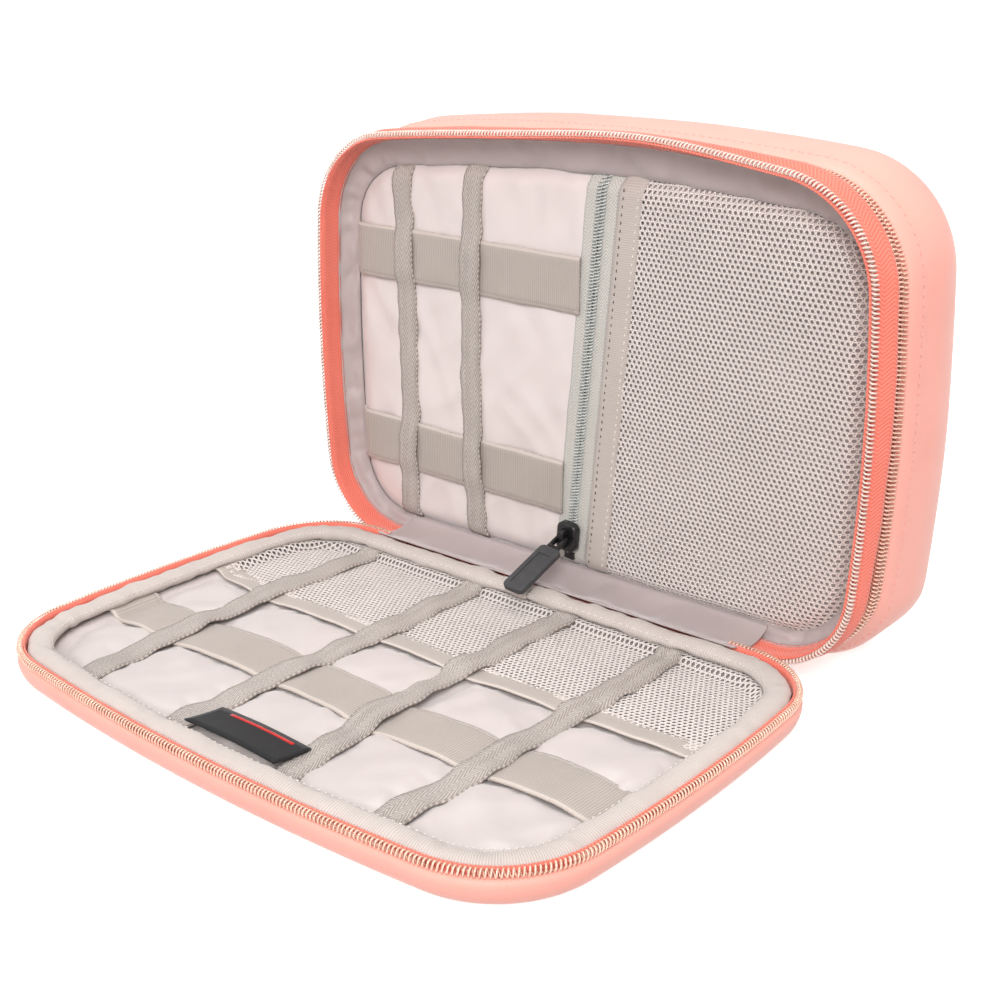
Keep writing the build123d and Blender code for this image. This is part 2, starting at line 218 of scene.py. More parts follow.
# ------------------------------------------------------------------------------ shader maths
class Wire:
    """A shader socket that takes part in Python sums; each operator adds one Math node."""

    def __init__(self, shader: "Shader", socket: bpy.types.NodeSocket) -> None:
        """Keep the socket and the shader that it belongs to."""
        self.shader = shader
        self.socket = socket

    def maths(self, operation: str, *values: "Wire | float") -> "Wire":
        """Send this socket and any further values through a Math node.

        Args:
            operation: the Math node's operation.
            values: its other inputs.

        Returns:
            The Math node's result.
        """
        inputs = dict(enumerate((self, *values)))
        return self.shader.node("ShaderNodeMath", {"operation": operation}, inputs)

    def __add__(self, other: "Wire | float") -> "Wire":
        """Sum."""
        return self.maths("ADD", other)

    __radd__ = __add__

    def __mul__(self, other: "Wire | float") -> "Wire":
        """Product."""
        return self.maths("MULTIPLY", other)

    __rmul__ = __mul__

    def __sub__(self, other: "Wire | float") -> "Wire":
        """Difference."""
        return self.maths("SUBTRACT", other)

    def __rsub__(self, other: float) -> "Wire":
        """Difference, reflected."""
        return self.shader.node("ShaderNodeMath", {"operation": "SUBTRACT"}, {0: other, 1: self})

    def above(self, limit: float) -> "Wire":
        """1 where the value is above the limit, else 0."""
        return self.maths("GREATER_THAN", limit)

    def wave(self, pitch: float) -> "Wire":
        """A sine of this value with the given pitch, from 0 to 1."""
        return (self * (TAU / pitch)).maths("SINE") * 0.5 + 0.5


class Shader:
    """A material's node tree with one Principled surface."""

    def __init__(self, name: str) -> None:
        """Make an empty material with an output and a Principled shader."""
        self.material = bpy.data.materials.new(name)
        self.material.use_nodes = True
        self.tree = self.material.node_tree
        self.tree.nodes.clear()
        output = self.tree.nodes.new("ShaderNodeOutputMaterial")
        self.principled = self.tree.nodes.new("ShaderNodeBsdfPrincipled")
        self.tree.links.new(self.principled.outputs[0], output.inputs[0])

    def feed(self, socket: bpy.types.NodeSocket, value: "Wire | float | tuple") -> None:
        """Link a wire to a socket, or set the socket's own value."""
        if isinstance(value, Wire):
            self.tree.links.new(value.socket, socket)
        elif isinstance(value, tuple) and len(socket.default_value) == 4:
            socket.default_value = (*value, 1.0)
        else:
            socket.default_value = value

    def node(self, kind: str, settings: dict | None = None, inputs: dict | None = None,
             output: int | str = 0) -> Wire:
        """Add a node.

        Args:
            kind: the node's type.
            settings: properties set before its inputs.
            inputs: values or wires by socket name or number.
            output: the output to return.

        Returns:
            The chosen output.
        """
        node = self.tree.nodes.new(kind)
        for key, value in (settings or {}).items():
            setattr(node, key, value)
        for key, value in (inputs or {}).items():
            self.feed(node.inputs[key], value)
        return Wire(self, node.outputs[output])

    def place(self) -> Wire:
        """Object coordinates in millimetres."""
        where = self.node("ShaderNodeTexCoord", output="Object")
        return self.node("ShaderNodeVectorMath", {"operation": "SCALE"}, {0: where, "Scale": 1 / MM})

    def axis(self, name: str) -> Wire:
        """One object coordinate in millimetres, X, Y or Z."""
        return self.node("ShaderNodeSeparateXYZ", inputs={0: self.place()}, output=name)

    def cut(self, name: str) -> Wire:
        """The cloth's own coordinate in millimetres: X along it, Y across it."""
        flat = self.node("ShaderNodeUVMap", {"uv_map": "cut"})
        return self.node("ShaderNodeSeparateXYZ", inputs={0: flat}, output=name)

    def grain(self, size: float, detail: float = 2.0) -> Wire:
        """Noise whose lumps are about this many millimetres across, from 0 to 1."""
        inputs = {"Vector": self.place(), "Scale": 1.0 / size, "Detail": detail}
        return self.node("ShaderNodeTexNoise", inputs=inputs, output=0)

    def blend(self, first: "Wire | Colour", second: "Wire | Colour", share: "Wire | float") -> Wire:
        """Mix two colours."""
        settings = {"data_type": "RGBA", "clamp_factor": True}
        return self.node("ShaderNodeMix", settings, {0: share, 6: first, 7: second}, output=2)

    def finish(self, bump: Wire | None = None, relief: float = 0.1,
               **sockets: "Wire | float | Colour") -> Material:
        """Set the Principled shader's sockets and return the material.

        Args:
            bump: a height from 0 to 1.
            relief: the height's size in millimetres.
            sockets: values by socket name, with underscores for blanks.

        Returns:
            The finished material.
        """
        for name, value in sockets.items():
            self.feed(self.principled.inputs[name.replace("_", " ")], value)
        if bump is not None:
            inputs = {"Height": bump, "Distance": relief * MM, "Strength": 1.0}
            normal = self.node("ShaderNodeBump", inputs=inputs, output="Normal")
            self.feed(self.principled.inputs["Normal"], normal)
        return self.material


class Weave(Enum):
    """How a cloth's surface is made."""

    COATED = "smooth coated cloth"
    SATIN = "fine satin"
    HERRINGBONE = "herringbone webbing"
    RIBBED = "elastic with cross ribs and beaded edges"
    GROSGRAIN = "fine cross ribs"
    KNIT = "plain knitted strands"


@dataclass(frozen=True)
class Cloth:
    """A cloth's finish."""

    name: str
    weave: Weave
    colour: Colour
    shade: Colour
    pitch: float = 1.0
    column: float = 3.0
    steep: float = 1.0
    relief: float = 0.12
    roughness: float = 0.7
    sheen: float = 0.25
    half_width: float = 0.0
    # Painted shade inside a net pocket: the axis, the limit past which it darkens, and how dark it gets.
    deep_axis: str = ""
    deep_from: float = 0.0
    deep_share: float = 0.45

    def _height(self, shader: Shader) -> Wire:
        """The weave's height from 0 to 1."""
        if self.weave in (Weave.COATED, Weave.KNIT):
            return shader.grain(self.pitch, 1.0)
        along, across = shader.cut("X"), shader.cut("Y")
        if self.weave is Weave.HERRINGBONE:
            return (along * self.steep + across.maths("PINGPONG", self.column)).wave(self.pitch)
        if self.weave is Weave.SATIN:
            return (along + across * 0.6).wave(self.pitch) * 0.4 + shader.grain(0.5) * 0.6
        return along.wave(self.pitch) * 0.8 + shader.grain(0.4) * 0.2

    def material(self) -> Material:
        """Build the cloth's node material.

        Returns:
            A material whose weave, mottling and roughness come from nodes, darkened with painted shade inside a net
            pocket where asked.
        """
        shader = Shader(self.name)
        height = self._height(shader)
        contrast = 0.25 if self.weave in (Weave.COATED, Weave.SATIN) else 0.75
        tint = shader.blend(self.shade, self.colour, height * contrast + (1 - contrast))
        tint = shader.blend(tint, self.shade, (shader.grain(22.0) - 0.42) * 0.7)
        tint = shader.blend(tint, self.colour, (shader.grain(6.0, 3.0) - 0.5) * 0.5)
        if self.half_width:
            edge = shader.cut("Y").maths("ABSOLUTE").above(self.half_width - 1.1)
            pale = tuple(min(1.0, level * 1.3) for level in self.colour)
            tint = shader.blend(tint, pale, edge * 0.75)
        # Painted shade: the colour turns to a dimmed shade colour past the limit, standing in for the shadow inside a
        # net pocket.
        if self.deep_axis:
            deep = tuple(level * self.deep_share for level in self.shade)
            tint = shader.blend(tint, deep, shader.axis(self.deep_axis).above(self.deep_from) * 0.9)
        rough = shader.grain(9.0) * 0.16 + (self.roughness - 0.08)
        return shader.finish(height, self.relief, Base_Color=tint, Roughness=rough,
                             Sheen_Weight=self.sheen, Sheen_Roughness=0.4, Specular_IOR_Level=0.35)


@dataclass(frozen=True)
class Moulded:
    """A moulded or plated finish: metal, rubber, nylon wire, foam or board."""

    name: str
    colour: Colour
    worn: Colour
    roughness: float = 0.4
    metallic: float = 0.0
    coat: float = 0.0
    relief: float = 0.02
    glow: float = 0.0

    def material(self) -> Material:
        """Build the node material.

        Returns:
            A material with fine specks, worn patches and varied roughness.
        """
        shader = Shader(self.name)
        patches = shader.grain(3.0, 3.0)
        specks = shader.grain(SPECK, 1.0)
        tint = shader.blend(self.colour, self.worn, (patches - 0.45) * 1.6)
        rough = patches * 0.2 + (self.roughness - 0.1)
        return shader.finish(specks, self.relief, Base_Color=tint, Roughness=rough, Metallic=self.metallic,
                             Coat_Weight=self.coat, Coat_Roughness=0.2, Emission_Color=tint,
                             Emission_Strength=self.glow)


@dataclass
class Palette:
    """Every finish of the pouch, made once."""

    shell: Material = field(init=False)

    def __post_init__(self) -> None:
        """Build all materials."""
        peach, peach_shade = (0.92, 0.42, 0.345), (0.82, 0.30, 0.235)
        coral, coral_shade = (0.92, 0.25, 0.18), (0.74, 0.13, 0.09)
        pearl, pearl_shade = (0.69, 0.61, 0.59), (0.52, 0.45, 0.435)
        taupe, taupe_shade = (0.47, 0.41, 0.37), (0.30, 0.26, 0.23)
        cream, cream_shade = (0.62, 0.55, 0.51), (0.41, 0.36, 0.33)
        grey, grey_shade = (0.60, 0.575, 0.53), (0.40, 0.385, 0.355)
        cloth = Weave
        self.shell = Cloth("coated_peach", cloth.COATED, peach, peach_shade, 0.35, relief=0.03,
                           roughness=0.55).material()
        self.tape = Cloth("coral_tape", cloth.HERRINGBONE, coral, coral_shade, 1.3, 2.4,
                          relief=0.15).material()
        self.seam = Cloth("coral_seam", cloth.COATED, coral, coral_shade, 0.5, relief=0.05).material()
        self.satin = Cloth("pearl_satin", cloth.SATIN, pearl, pearl_shade, 0.5, relief=0.02,
                           roughness=0.42, sheen=0.4).material()
        # Painted shade: a darker copy of the pearl satin for the lining collar, which faces down and inwards, and for
        # the front hinge strip.
        self.collar = Cloth("collar_satin", cloth.SATIN, (0.44, 0.37, 0.36), (0.32, 0.265, 0.26), 0.5,
                            relief=0.02, roughness=0.45, sheen=0.4).material()
        # Painted shade: the pearl satin, darker where x passes 14 mm under the net pocket, for the shadow inside the
        # pocket.
        self.panel = Cloth("panel_satin", cloth.SATIN, pearl, pearl_shade, 0.5, relief=0.02,
                           roughness=0.42, sheen=0.4, deep_axis="X", deep_from=14.0,
                           deep_share=0.75).material()
        # Painted shade: a darker copy of the pearl satin for the lid floor, which faces up into the lights, and darker
        # still past y = -104 mm behind the net pocket for the shadow inside it.
        self.floor = Cloth("lid_satin", cloth.SATIN, (0.58, 0.52, 0.50), (0.43, 0.375, 0.36), 0.5,
                           relief=0.02, roughness=0.42, sheen=0.4, deep_axis="Y", deep_from=-104.0,
                           deep_share=0.55).material()
        self.elastic = Cloth("ribbed_elastic", cloth.RIBBED, taupe, taupe_shade, 0.9, relief=0.12,
                             half_width=10.0).material()
        self.hem = Cloth("hem_tape", cloth.GROSGRAIN, (0.52, 0.46, 0.42), taupe_shade, 0.8, relief=0.08,
                         half_width=5.2).material()
        self.strap = Cloth("herringbone_strap", cloth.HERRINGBONE, (0.60, 0.53, 0.48),
                           (0.22, 0.185, 0.165), 0.85, 2.4, steep=0.42, relief=0.3).material()
        self.net = Cloth("knitted_net", cloth.KNIT, (0.80, 0.73, 0.69), (0.62, 0.55, 0.52), 0.4,
                         relief=0.05).material()
        self.binding = Cloth("grosgrain_binding", cloth.GROSGRAIN, cream, cream_shade, 0.9,
                             relief=0.15).material()
        self.band = Cloth("pocket_band", cloth.GROSGRAIN, (0.53, 0.47, 0.43), (0.38, 0.33, 0.30), 0.8,
                          relief=0.06).material()
        self.pocket_tape = Cloth("grey_tape", cloth.HERRINGBONE, grey, grey_shade, 1.2, 2.3,
                                 relief=0.12).material()
        self.thread = Cloth("cream_thread", cloth.KNIT, (0.80, 0.74, 0.68), (0.66, 0.60, 0.54),
                            0.2).material()
        # Painted shade: near-black stitches standing in for the shadowed stitch holes of the pocket binding's left
        # row.
        self.dark_thread = Cloth("dark_thread", cloth.KNIT, (0.10, 0.085, 0.075), (0.06, 0.05, 0.045),
                                 0.2).material()
        self.black_cloth = Cloth("black_label", cloth.COATED, (0.012, 0.012, 0.014),
                                 (0.004, 0.004, 0.005), 0.4, relief=0.06, sheen=0.1).material()
        self.red_cloth = Cloth("red_line", cloth.COATED, (0.55, 0.02, 0.015), (0.35, 0.01, 0.01),
                               0.4).material()
        self.coil = Moulded("pearl_coil", (0.80, 0.60, 0.52), (0.93, 0.84, 0.79), 0.28,
                            coat=0.5).material()
        self.rose_coil = Moulded("rose_coil", (0.82, 0.50, 0.38), (0.90, 0.68, 0.55), 0.25, metallic=0.25,
                                 coat=0.5).material()
        self.grey_coil = Moulded("grey_coil", (0.50, 0.52, 0.50), (0.70, 0.72, 0.70), 0.3,
                                 coat=0.4).material()
        self.metal = Moulded("rose_metal", (0.72, 0.40, 0.30), (0.85, 0.58, 0.46), 0.28,
                             metallic=1.0).material()
        self.black_metal = Moulded("black_metal", (0.012, 0.012, 0.013), (0.05, 0.05, 0.05), 0.3,
                                   metallic=0.3, coat=0.3).material()
        self.rubber = Moulded("matt_rubber", (0.045, 0.045, 0.048), (0.075, 0.075, 0.078), 0.6,
                              relief=0.05).material()
        self.foam = Moulded("foam", (0.75, 0.73, 0.68), (0.66, 0.63, 0.58), 0.9, relief=0.2).material()
        self.board = Moulded("board", (0.55, 0.52, 0.47), (0.47, 0.44, 0.40), 0.85,
                             relief=0.05).material()


# ------------------------------------------------------------------------------ where things are
class Stance(Enum):
    """How a piece drawn in working coordinates stands in the frame."""

    STANDING = "body"
    LYING = "open lid"

    def place(self, x: float, depth: float, height: float) -> Vector:
        """Turn working millimetres into the frame's metres."""
        if self is Stance.LYING:
            return Vector((x, HINGE.y + HINGE.z - height, HINGE.z + depth - HINGE.y + FRONT_PLANE)) * MM
        return Vector((x, FRONT_PLANE + depth, height)) * MM


@dataclass(frozen=True)
class Spot:
    """A point on the zipper loop, with the direction out of the loop and its run along it."""

    x: float
    height: float
    out_x: float
    out_up: float
    run: float

    def inset(self, distance: float) -> tuple[float, float]:
        """The x and height of the point moved into the loop."""
        return self.x - self.out_x * distance, self.height - self.out_up * distance


@dataclass
class Loop:
    """The zipper loop's outline: a straight bottom, two low corners, curved sides and a crown."""

    width: float = 240.0
    top: float = 171.0
    lift: float = 7.0
    side_bulge: float = 5.0
    top_bulge: float = 8.0
    low_corner: float = 32.0
    top_corner: float = 37.0
    zip_run_in: float = 8.0

    def __post_init__(self) -> None:
        """Work out the arcs of the right half, the loop's length and a search tree."""
        rise = (self.top - self.top_bulge - self.lift) / 2
        radius = (rise ** 2 + self.side_bulge ** 2) / (2 * self.side_bulge)
        side = (self.width / 2 - radius, self.lift + rise)
        low_up = self.lift + self.low_corner
        low = (side[0] + math.sqrt((radius - self.low_corner) ** 2 - (low_up - side[1]) ** 2), low_up)
        half = self.width / 2 - self.side_bulge
        crown_radius = (half ** 2 + self.top_bulge ** 2) / (2 * self.top_bulge)
        crown = (0.0, self.top - crown_radius)
        high = self._crossing(side, radius - self.top_corner, crown, crown_radius - self.top_corner)
        low_angle = math.atan2(low[1] - side[1], low[0] - side[0])
        high_angle = math.atan2(high[1] - side[1], high[0] - side[0])
        crown_angle = math.atan2(high[1] - crown[1], high[0] - crown[0])
        quarter = math.pi / 2
        self.arcs = [(low, self.low_corner, -quarter, low_angle),
                     (side, radius, low_angle, high_angle),
                     (high, self.top_corner, high_angle, crown_angle),
                     (crown, crown_radius, crown_angle, quarter)]
        self.straight = low[0]
        self.length = 2 * (low[0] + sum(radius * (end - start) for _, radius, start, end in self.arcs))
        self.zip_span = (low[0] - self.zip_run_in, self.length - low[0] + self.zip_run_in)
        self.samples = [self.spot(run) for run in range(int(self.length))]
        self.tree = KDTree(len(self.samples))
        for number, spot in enumerate(self.samples):
            self.tree.insert((spot.x, spot.height, 0.0), number)
        self.tree.balance()

    @staticmethod
    def _crossing(first: tuple, first_reach: float, second: tuple,
                  second_reach: float) -> tuple[float, float]:
        """The right-hand point at given distances from two centres."""
        span = math.dist(first, second)
        along = (span ** 2 + first_reach ** 2 - second_reach ** 2) / (2 * span)
        across = math.sqrt(first_reach ** 2 - along ** 2)
        unit = ((second[0] - first[0]) / span, (second[1] - first[1]) / span)
        return max((first[0] + along * unit[0] + turn * across * unit[1],
                    first[1] + along * unit[1] - turn * across * unit[0]) for turn in (-1, 1))

    def spot(self, run: float) -> Spot:
        """The point at a run, counted from the middle of the bottom, first to the right.

        Args:
            run: millimetres along the loop.

        Returns:
            The spot, with its outward direction.
        """
        around = run % self.length
        mirrored = around > self.length / 2
        rest = self.length - around if mirrored else around
        side = -1 if mirrored else 1
        if rest <= self.straight:
            return Spot(side * rest, self.lift, 0.0, -1.0, run)
        rest -= self.straight
        for centre, radius, start, end in self.arcs:
            if rest <= radius * (end - start) + 1e-6:
                break
            rest -= radius * (end - start)
        angle = start + rest / radius
        x, up = centre[0] + radius * math.cos(angle), centre[1] + radius * math.sin(angle)
        return Spot(side * x, up, side * math.cos(angle), math.sin(angle), run)

    def clearance(self, x: float, height: float) -> tuple[float, Spot]:
        """How far inside the loop a point is, and the nearest spot."""
        number = self.tree.find((x, height, 0.0))[1]
        spot = self.samples[number]
        return (spot.x - x) * spot.out_x + (spot.height - height) * spot.out_up, spot


LOOP = Loop()
GROUND_LOOP = Loop(lift=0.0)
PANEL_INSET = 9.0  # how far in the partition's edge lies at the sides
BORDER_REACH = 2.0  # how far a sheet's border is drawn out to its outline
SEAM_FLARE = 0.676544  # how far the cover's stitch line has turned from the loop to the ground


@dataclass(frozen=True)
class Row:
    """One line of a swept cloth: how far in from the loop, how deep, on which loop, and how shrunk."""

    inset: float
    depth: float
    flare: float = 0.0
    shrink: float = 1.0


def smoothed(rows: Sequence[Row], times: int = 2) -> list[Row]:
    """The rows, with others put between them so that the profile is a smooth curve."""
    values = [Vector((row.inset, row.depth, row.flare, row.shrink)) for row in rows]
    values = [values[0], *values, values[-1]]
    fine = []
    for before, start, end, after in zip(values, values[1:], values[2:], values[3:]):
        for number in range(times):
            share = number / times
            slope = (end - before) * share
            bow = (2 * before - 5 * start + 4 * end - after) * share ** 2
            twist = (3 * start - before - 3 * end + after) * share ** 3
            fine.append(Row(*(start + (slope + bow + twist) / 2)))
    return [*fine, rows[-1]]


def ripple(x: float, y: float, z: float, size: float) -> float:
    """Smooth noise from -1 to 1 with lumps of the given size."""
    return noise.noise(Vector((x, y, z)) / size)


def ease(value: float) -> float:
    """A smooth step from 0 to 1."""
    held = min(1.0, max(0.0, value))
    return held * held * (3 - 2 * held)


def hump(value: float, centre: float, reach: float) -> float:
    """A smooth bump of height 1 round a centre."""
    return math.exp(-((value - centre) / reach) ** 2)


def rumple(x: float, height: float, size: float) -> float:
    """Soft creases of satin from -1 to 1: ridges of smooth noise, longer than they are wide."""
    first = 1 - 3.2 * abs(ripple(x + 0.5 * height, height * 0.4, 3.0, size))
    second = 1 - 3.2 * abs(ripple(x * 0.5, height - 0.7 * x, 40.0, size * 1.4))
    return (first + second) / 2


def panel_rim(spot: Spot) -> float:
    """How far in the padded partition's edge lies: furthest at the top, least at the bottom."""
    return PANEL_INSET + 4.0 * max(0.0, spot.out_up) ** 2 - 2.0 * max(0.0, -spot.out_up)


# ------------------------------------------------------------------------------ making meshes
def finished(name: str, mesh: Shape, material: Material, wall: float = 0.0, levels: int = 0,
             side: float = 0.0) -> Object:
    """Turn a bmesh into an object.

    Args:
        name: the piece's name.
        mesh: the shape, in metres.
        material: its finish.
        wall: the cloth's thickness in millimetres, 0 for a closed shape.
        levels: subdivision levels.
        side: where the wall goes, -1 inwards to 1 outwards.

    Returns:
        The piece, at the origin.
    """
    data = bpy.data.meshes.new(name)
    mesh.to_mesh(data)
    mesh.free()
    data.shade_smooth()
    piece = bpy.data.objects.new(name, data)
    bpy.context.scene.collection.objects.link(piece)
    data.materials.append(material)
    if levels:
        surface = piece.modifiers.new("subdivision", "SUBSURF")
        surface.levels = surface.render_levels = levels
    if wall:
        solid = piece.modifiers.new("wall", "SOLIDIFY")
        solid.thickness = wall * MM
        solid.offset = side
    return piece


def attach(piece: Object, body: str, slot: str, *nodes: str) -> Object:
    """Make a piece ride on a body, take a slot's finish and stand for CAD nodes."""
    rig.ride(piece, body)
    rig.slot(piece, slot)
    if nodes:
        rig.replaces(piece, *nodes)
    LOG.info("%s rides on %s", piece.name, body)
    return piece


def woven(columns: int, rows: int, place: Callable[[int, int], Vector],
          cut: Callable[[int, int], tuple[float, float]]) -> Shape:
    """A cloth grown row by row: a chain of edges, extruded and laid in place.

    Args:
        columns: steps along each row.
        rows: steps from the first row to the last.
        place: position of a column and row, in metres.
        cut: the same point on the flat cloth, in millimetres.

    Returns:
        The mesh, with its flat coordinates in the UV map "cut" and its ends merged.
    """
    mesh = bmesh.new()
    column = mesh.verts.layers.int.new("column")
    row = mesh.verts.layers.int.new("row")
    chain = []
    for number in range(columns + 1):
        vertex = mesh.verts.new(place(number, 0))
        vertex[column] = number
        chain.append(vertex)
    edges = [mesh.edges.new(pair) for pair in zip(chain, chain[1:])]
    for level in range(1, rows + 1):
        grown = bmesh.ops.extrude_edge_only(mesh, edges=edges)["geom"]
        for vertex in (part for part in grown if isinstance(part, bmesh.types.BMVert)):
            vertex[row] = level
            vertex.co = place(vertex[column], level)
        edges = [part for part in grown if isinstance(part, bmesh.types.BMEdge)
                 and all(end[row] == level for end in part.verts)]
    flat = mesh.loops.layers.uv.new("cut")
    for face in mesh.faces:
        for corner in face.loops:
            corner[flat].uv = cut(corner.vert[column], corner.vert[row])
    mesh.verts.layers.int.remove(mesh.verts.layers.int["column"])
    mesh.verts.layers.int.remove(mesh.verts.layers.int["row"])
    bmesh.ops.remove_doubles(mesh, verts=mesh.verts, dist=1e-6)
    bmesh.ops.recalc_face_normals(mesh, faces=mesh.faces)
    return mesh


Bend = Callable[[Spot, int, float, float], tuple[float, float]]


@dataclass(frozen=True)
class Sweep:
    """A profile carried round the zipper loop."""

    rows: Sequence[Row]
    stance: Stance = Stance.STANDING
    span: tuple[float, float] = (0.0, LOOP.length)
    step: float = 2.5
    bend: Bend | None = None

    def mesh(self) -> Shape:
        """Carry the profile round the loop, with each row on its own flare."""
        start, end = self.span
        columns = round((end - start) / self.step)
        runs = [start + (end - start) * number / columns for number in range(columns + 1)]
        seam = [LOOP.spot(run) for run in runs]
        ground = [GROUND_LOOP.spot(run * GROUND_LOOP.length / LOOP.length) for run in runs]
        middle = (LOOP.top + LOOP.lift) / 2
        widths = [0.0]
        for before, after in zip(self.rows, self.rows[1:]):
            drift = (before.shrink - after.shrink) * LOOP.top / 2
            step = math.hypot(before.inset - after.inset, before.depth - after.depth)
            widths.append(widths[-1] + step + drift)

        def place(column: int, level: int) -> Vector:
            """Position of one point of the sweep."""
            row = self.rows[level]
            inset, depth = row.inset, row.depth
            if self.bend:
                inset, depth = self.bend(seam[column], level, inset, depth)
            near, far = seam[column].inset(inset), ground[column].inset(inset)
            x = near[0] + (far[0] - near[0]) * row.flare
            height = near[1] + (far[1] - near[1]) * row.flare
            return self.stance.place(x * row.shrink, depth, middle + (height - middle) * row.shrink)

        return woven(columns, len(self.rows) - 1, place, lambda column, level: (runs[column], widths[level]))

    def piece(self, name: str, material: Material, wall: float = 0.0, levels: int = 0,
              side: float = 0.0) -> Object:
        """The swept cloth as an object."""
        return finished(name, self.mesh(), material, wall, levels, side)


Inset = Callable[[Spot], float]


def sheet_grid(cell: float, inset: Inset) -> Shape:
    """A flat grid cut to the loop's outline and drawn onto it, x and height in millimetres.

    Args:
        cell: the grid's spacing.
        inset: how far inside the loop the sheet ends beside a spot.

    Returns:
        The mesh, lying in its own x-y plane.
    """
    columns, rows = round(LOOP.width / cell), round((LOOP.top - LOOP.lift) / cell)
    matrix = Matrix.Translation((0, (LOOP.top + LOOP.lift) / 2, 0)) @ Matrix.Diagonal(
        (LOOP.width / 2, (LOOP.top - LOOP.lift) / 2, 1, 1))
    mesh = bmesh.new()
    bmesh.ops.create_grid(mesh, x_segments=columns, y_segments=rows, size=1.0, matrix=matrix)
    cut_to_outline(mesh, inset, lambda x, height: True)
    for vertex in mesh.verts:
        inside, spot = LOOP.clearance(vertex.co.x, vertex.co.y)
        gap = inside - inset(spot)
        if gap < 0 or (vertex.is_boundary and gap < BORDER_REACH):
            vertex.co += Vector((spot.out_x, spot.out_up, 0)) * gap
    return mesh


def cut_to_outline(mesh: Shape, inset: Inset, keep: Callable[[float, float], bool]) -> None:
    """Drop the faces of a flat mesh that lie outside the outline or aren't kept."""
    outside = []
    for face in mesh.faces:
        middle = face.calc_center_median()
        inside, spot = LOOP.clearance(middle.x, middle.y)
        if inside < inset(spot) or not keep(middle.x, middle.y):
            outside.append(face)
    bmesh.ops.delete(mesh, geom=outside, context="FACES")


def stand(mesh: Shape, stance: Stance,
          depth: Callable[[float, float], float]) -> Shape:
    """Write a flat mesh's cut, then stand or lay it at a depth that varies over it."""
    flat = mesh.loops.layers.uv.new("cut")
    for face in mesh.faces:
        for corner in face.loops:
            corner[flat].uv = corner.vert.co.xy
    for vertex in mesh.verts:
        x, height, _ = vertex.co
        vertex.co = stance.place(x, depth(x, height), height)
    bmesh.ops.recalc_face_normals(mesh, faces=mesh.faces)
    return mesh


@dataclass(frozen=True)
class Net:
    """A knitted net with a hexagonal hole pattern."""

    pitch: float
    strand: float

    def mesh(self, inset: Inset, keep: Callable[[float, float], bool]) -> Shape:
        """One hexagon, repeated into rows, cut to the outline and opened into holes.

        Args:
            inset: how far inside the loop the net ends beside a spot.
            keep: whether a point belongs to the net.

        Returns:
            The flat net, x and height in millimetres.
        """
        radius = self.pitch / math.sqrt(3)
        mesh = bmesh.new()
        corner = Matrix.Translation((-LOOP.width / 2, LOOP.lift, 0)) @ Matrix.Rotation(math.pi / 6, 4, "Z")
        bmesh.ops.create_circle(mesh, cap_ends=True, segments=6, radius=radius, matrix=corner)
        self._repeat(mesh, round(LOOP.width / self.pitch), Vector((self.pitch, 0, 0)))
        twin = bmesh.ops.duplicate(mesh, geom=mesh.faces[:])["geom"]
        shift = Vector((self.pitch / 2, 1.5 * radius, 0))
        verts = [part for part in twin if isinstance(part, bmesh.types.BMVert)]
        bmesh.ops.translate(mesh, verts=verts, vec=shift)
        self._repeat(mesh, round((LOOP.top - LOOP.lift) / (3 * radius)) + 1, Vector((0, 3 * radius, 0)))
        bmesh.ops.remove_doubles(mesh, verts=mesh.verts, dist=0.05)
        cut_to_outline(mesh, inset, keep)
        bmesh.ops.remove_doubles(mesh, verts=mesh.verts, dist=0.05)
        holes = [face for face in mesh.faces if face.calc_area() > 0.3 * self.pitch ** 2]
        bmesh.ops.inset_individual(mesh, faces=holes, thickness=self.strand / 2)
        bmesh.ops.delete(mesh, geom=holes, context="FACES_ONLY")
        return mesh

    @staticmethod
    def _repeat(mesh: Shape, times: int, step: Vector) -> None:
        """Repeat the whole mesh a number of times along a step."""
        part = mesh.faces[:]
        for _ in range(times - 1):
            copy = bmesh.ops.duplicate(mesh, geom=part)["geom"]
            part = [item for item in copy if isinstance(item, bmesh.types.BMFace)]
            verts = [item for item in copy if isinstance(item, bmesh.types.BMVert)]
            bmesh.ops.translate(mesh, verts=verts, vec=step)


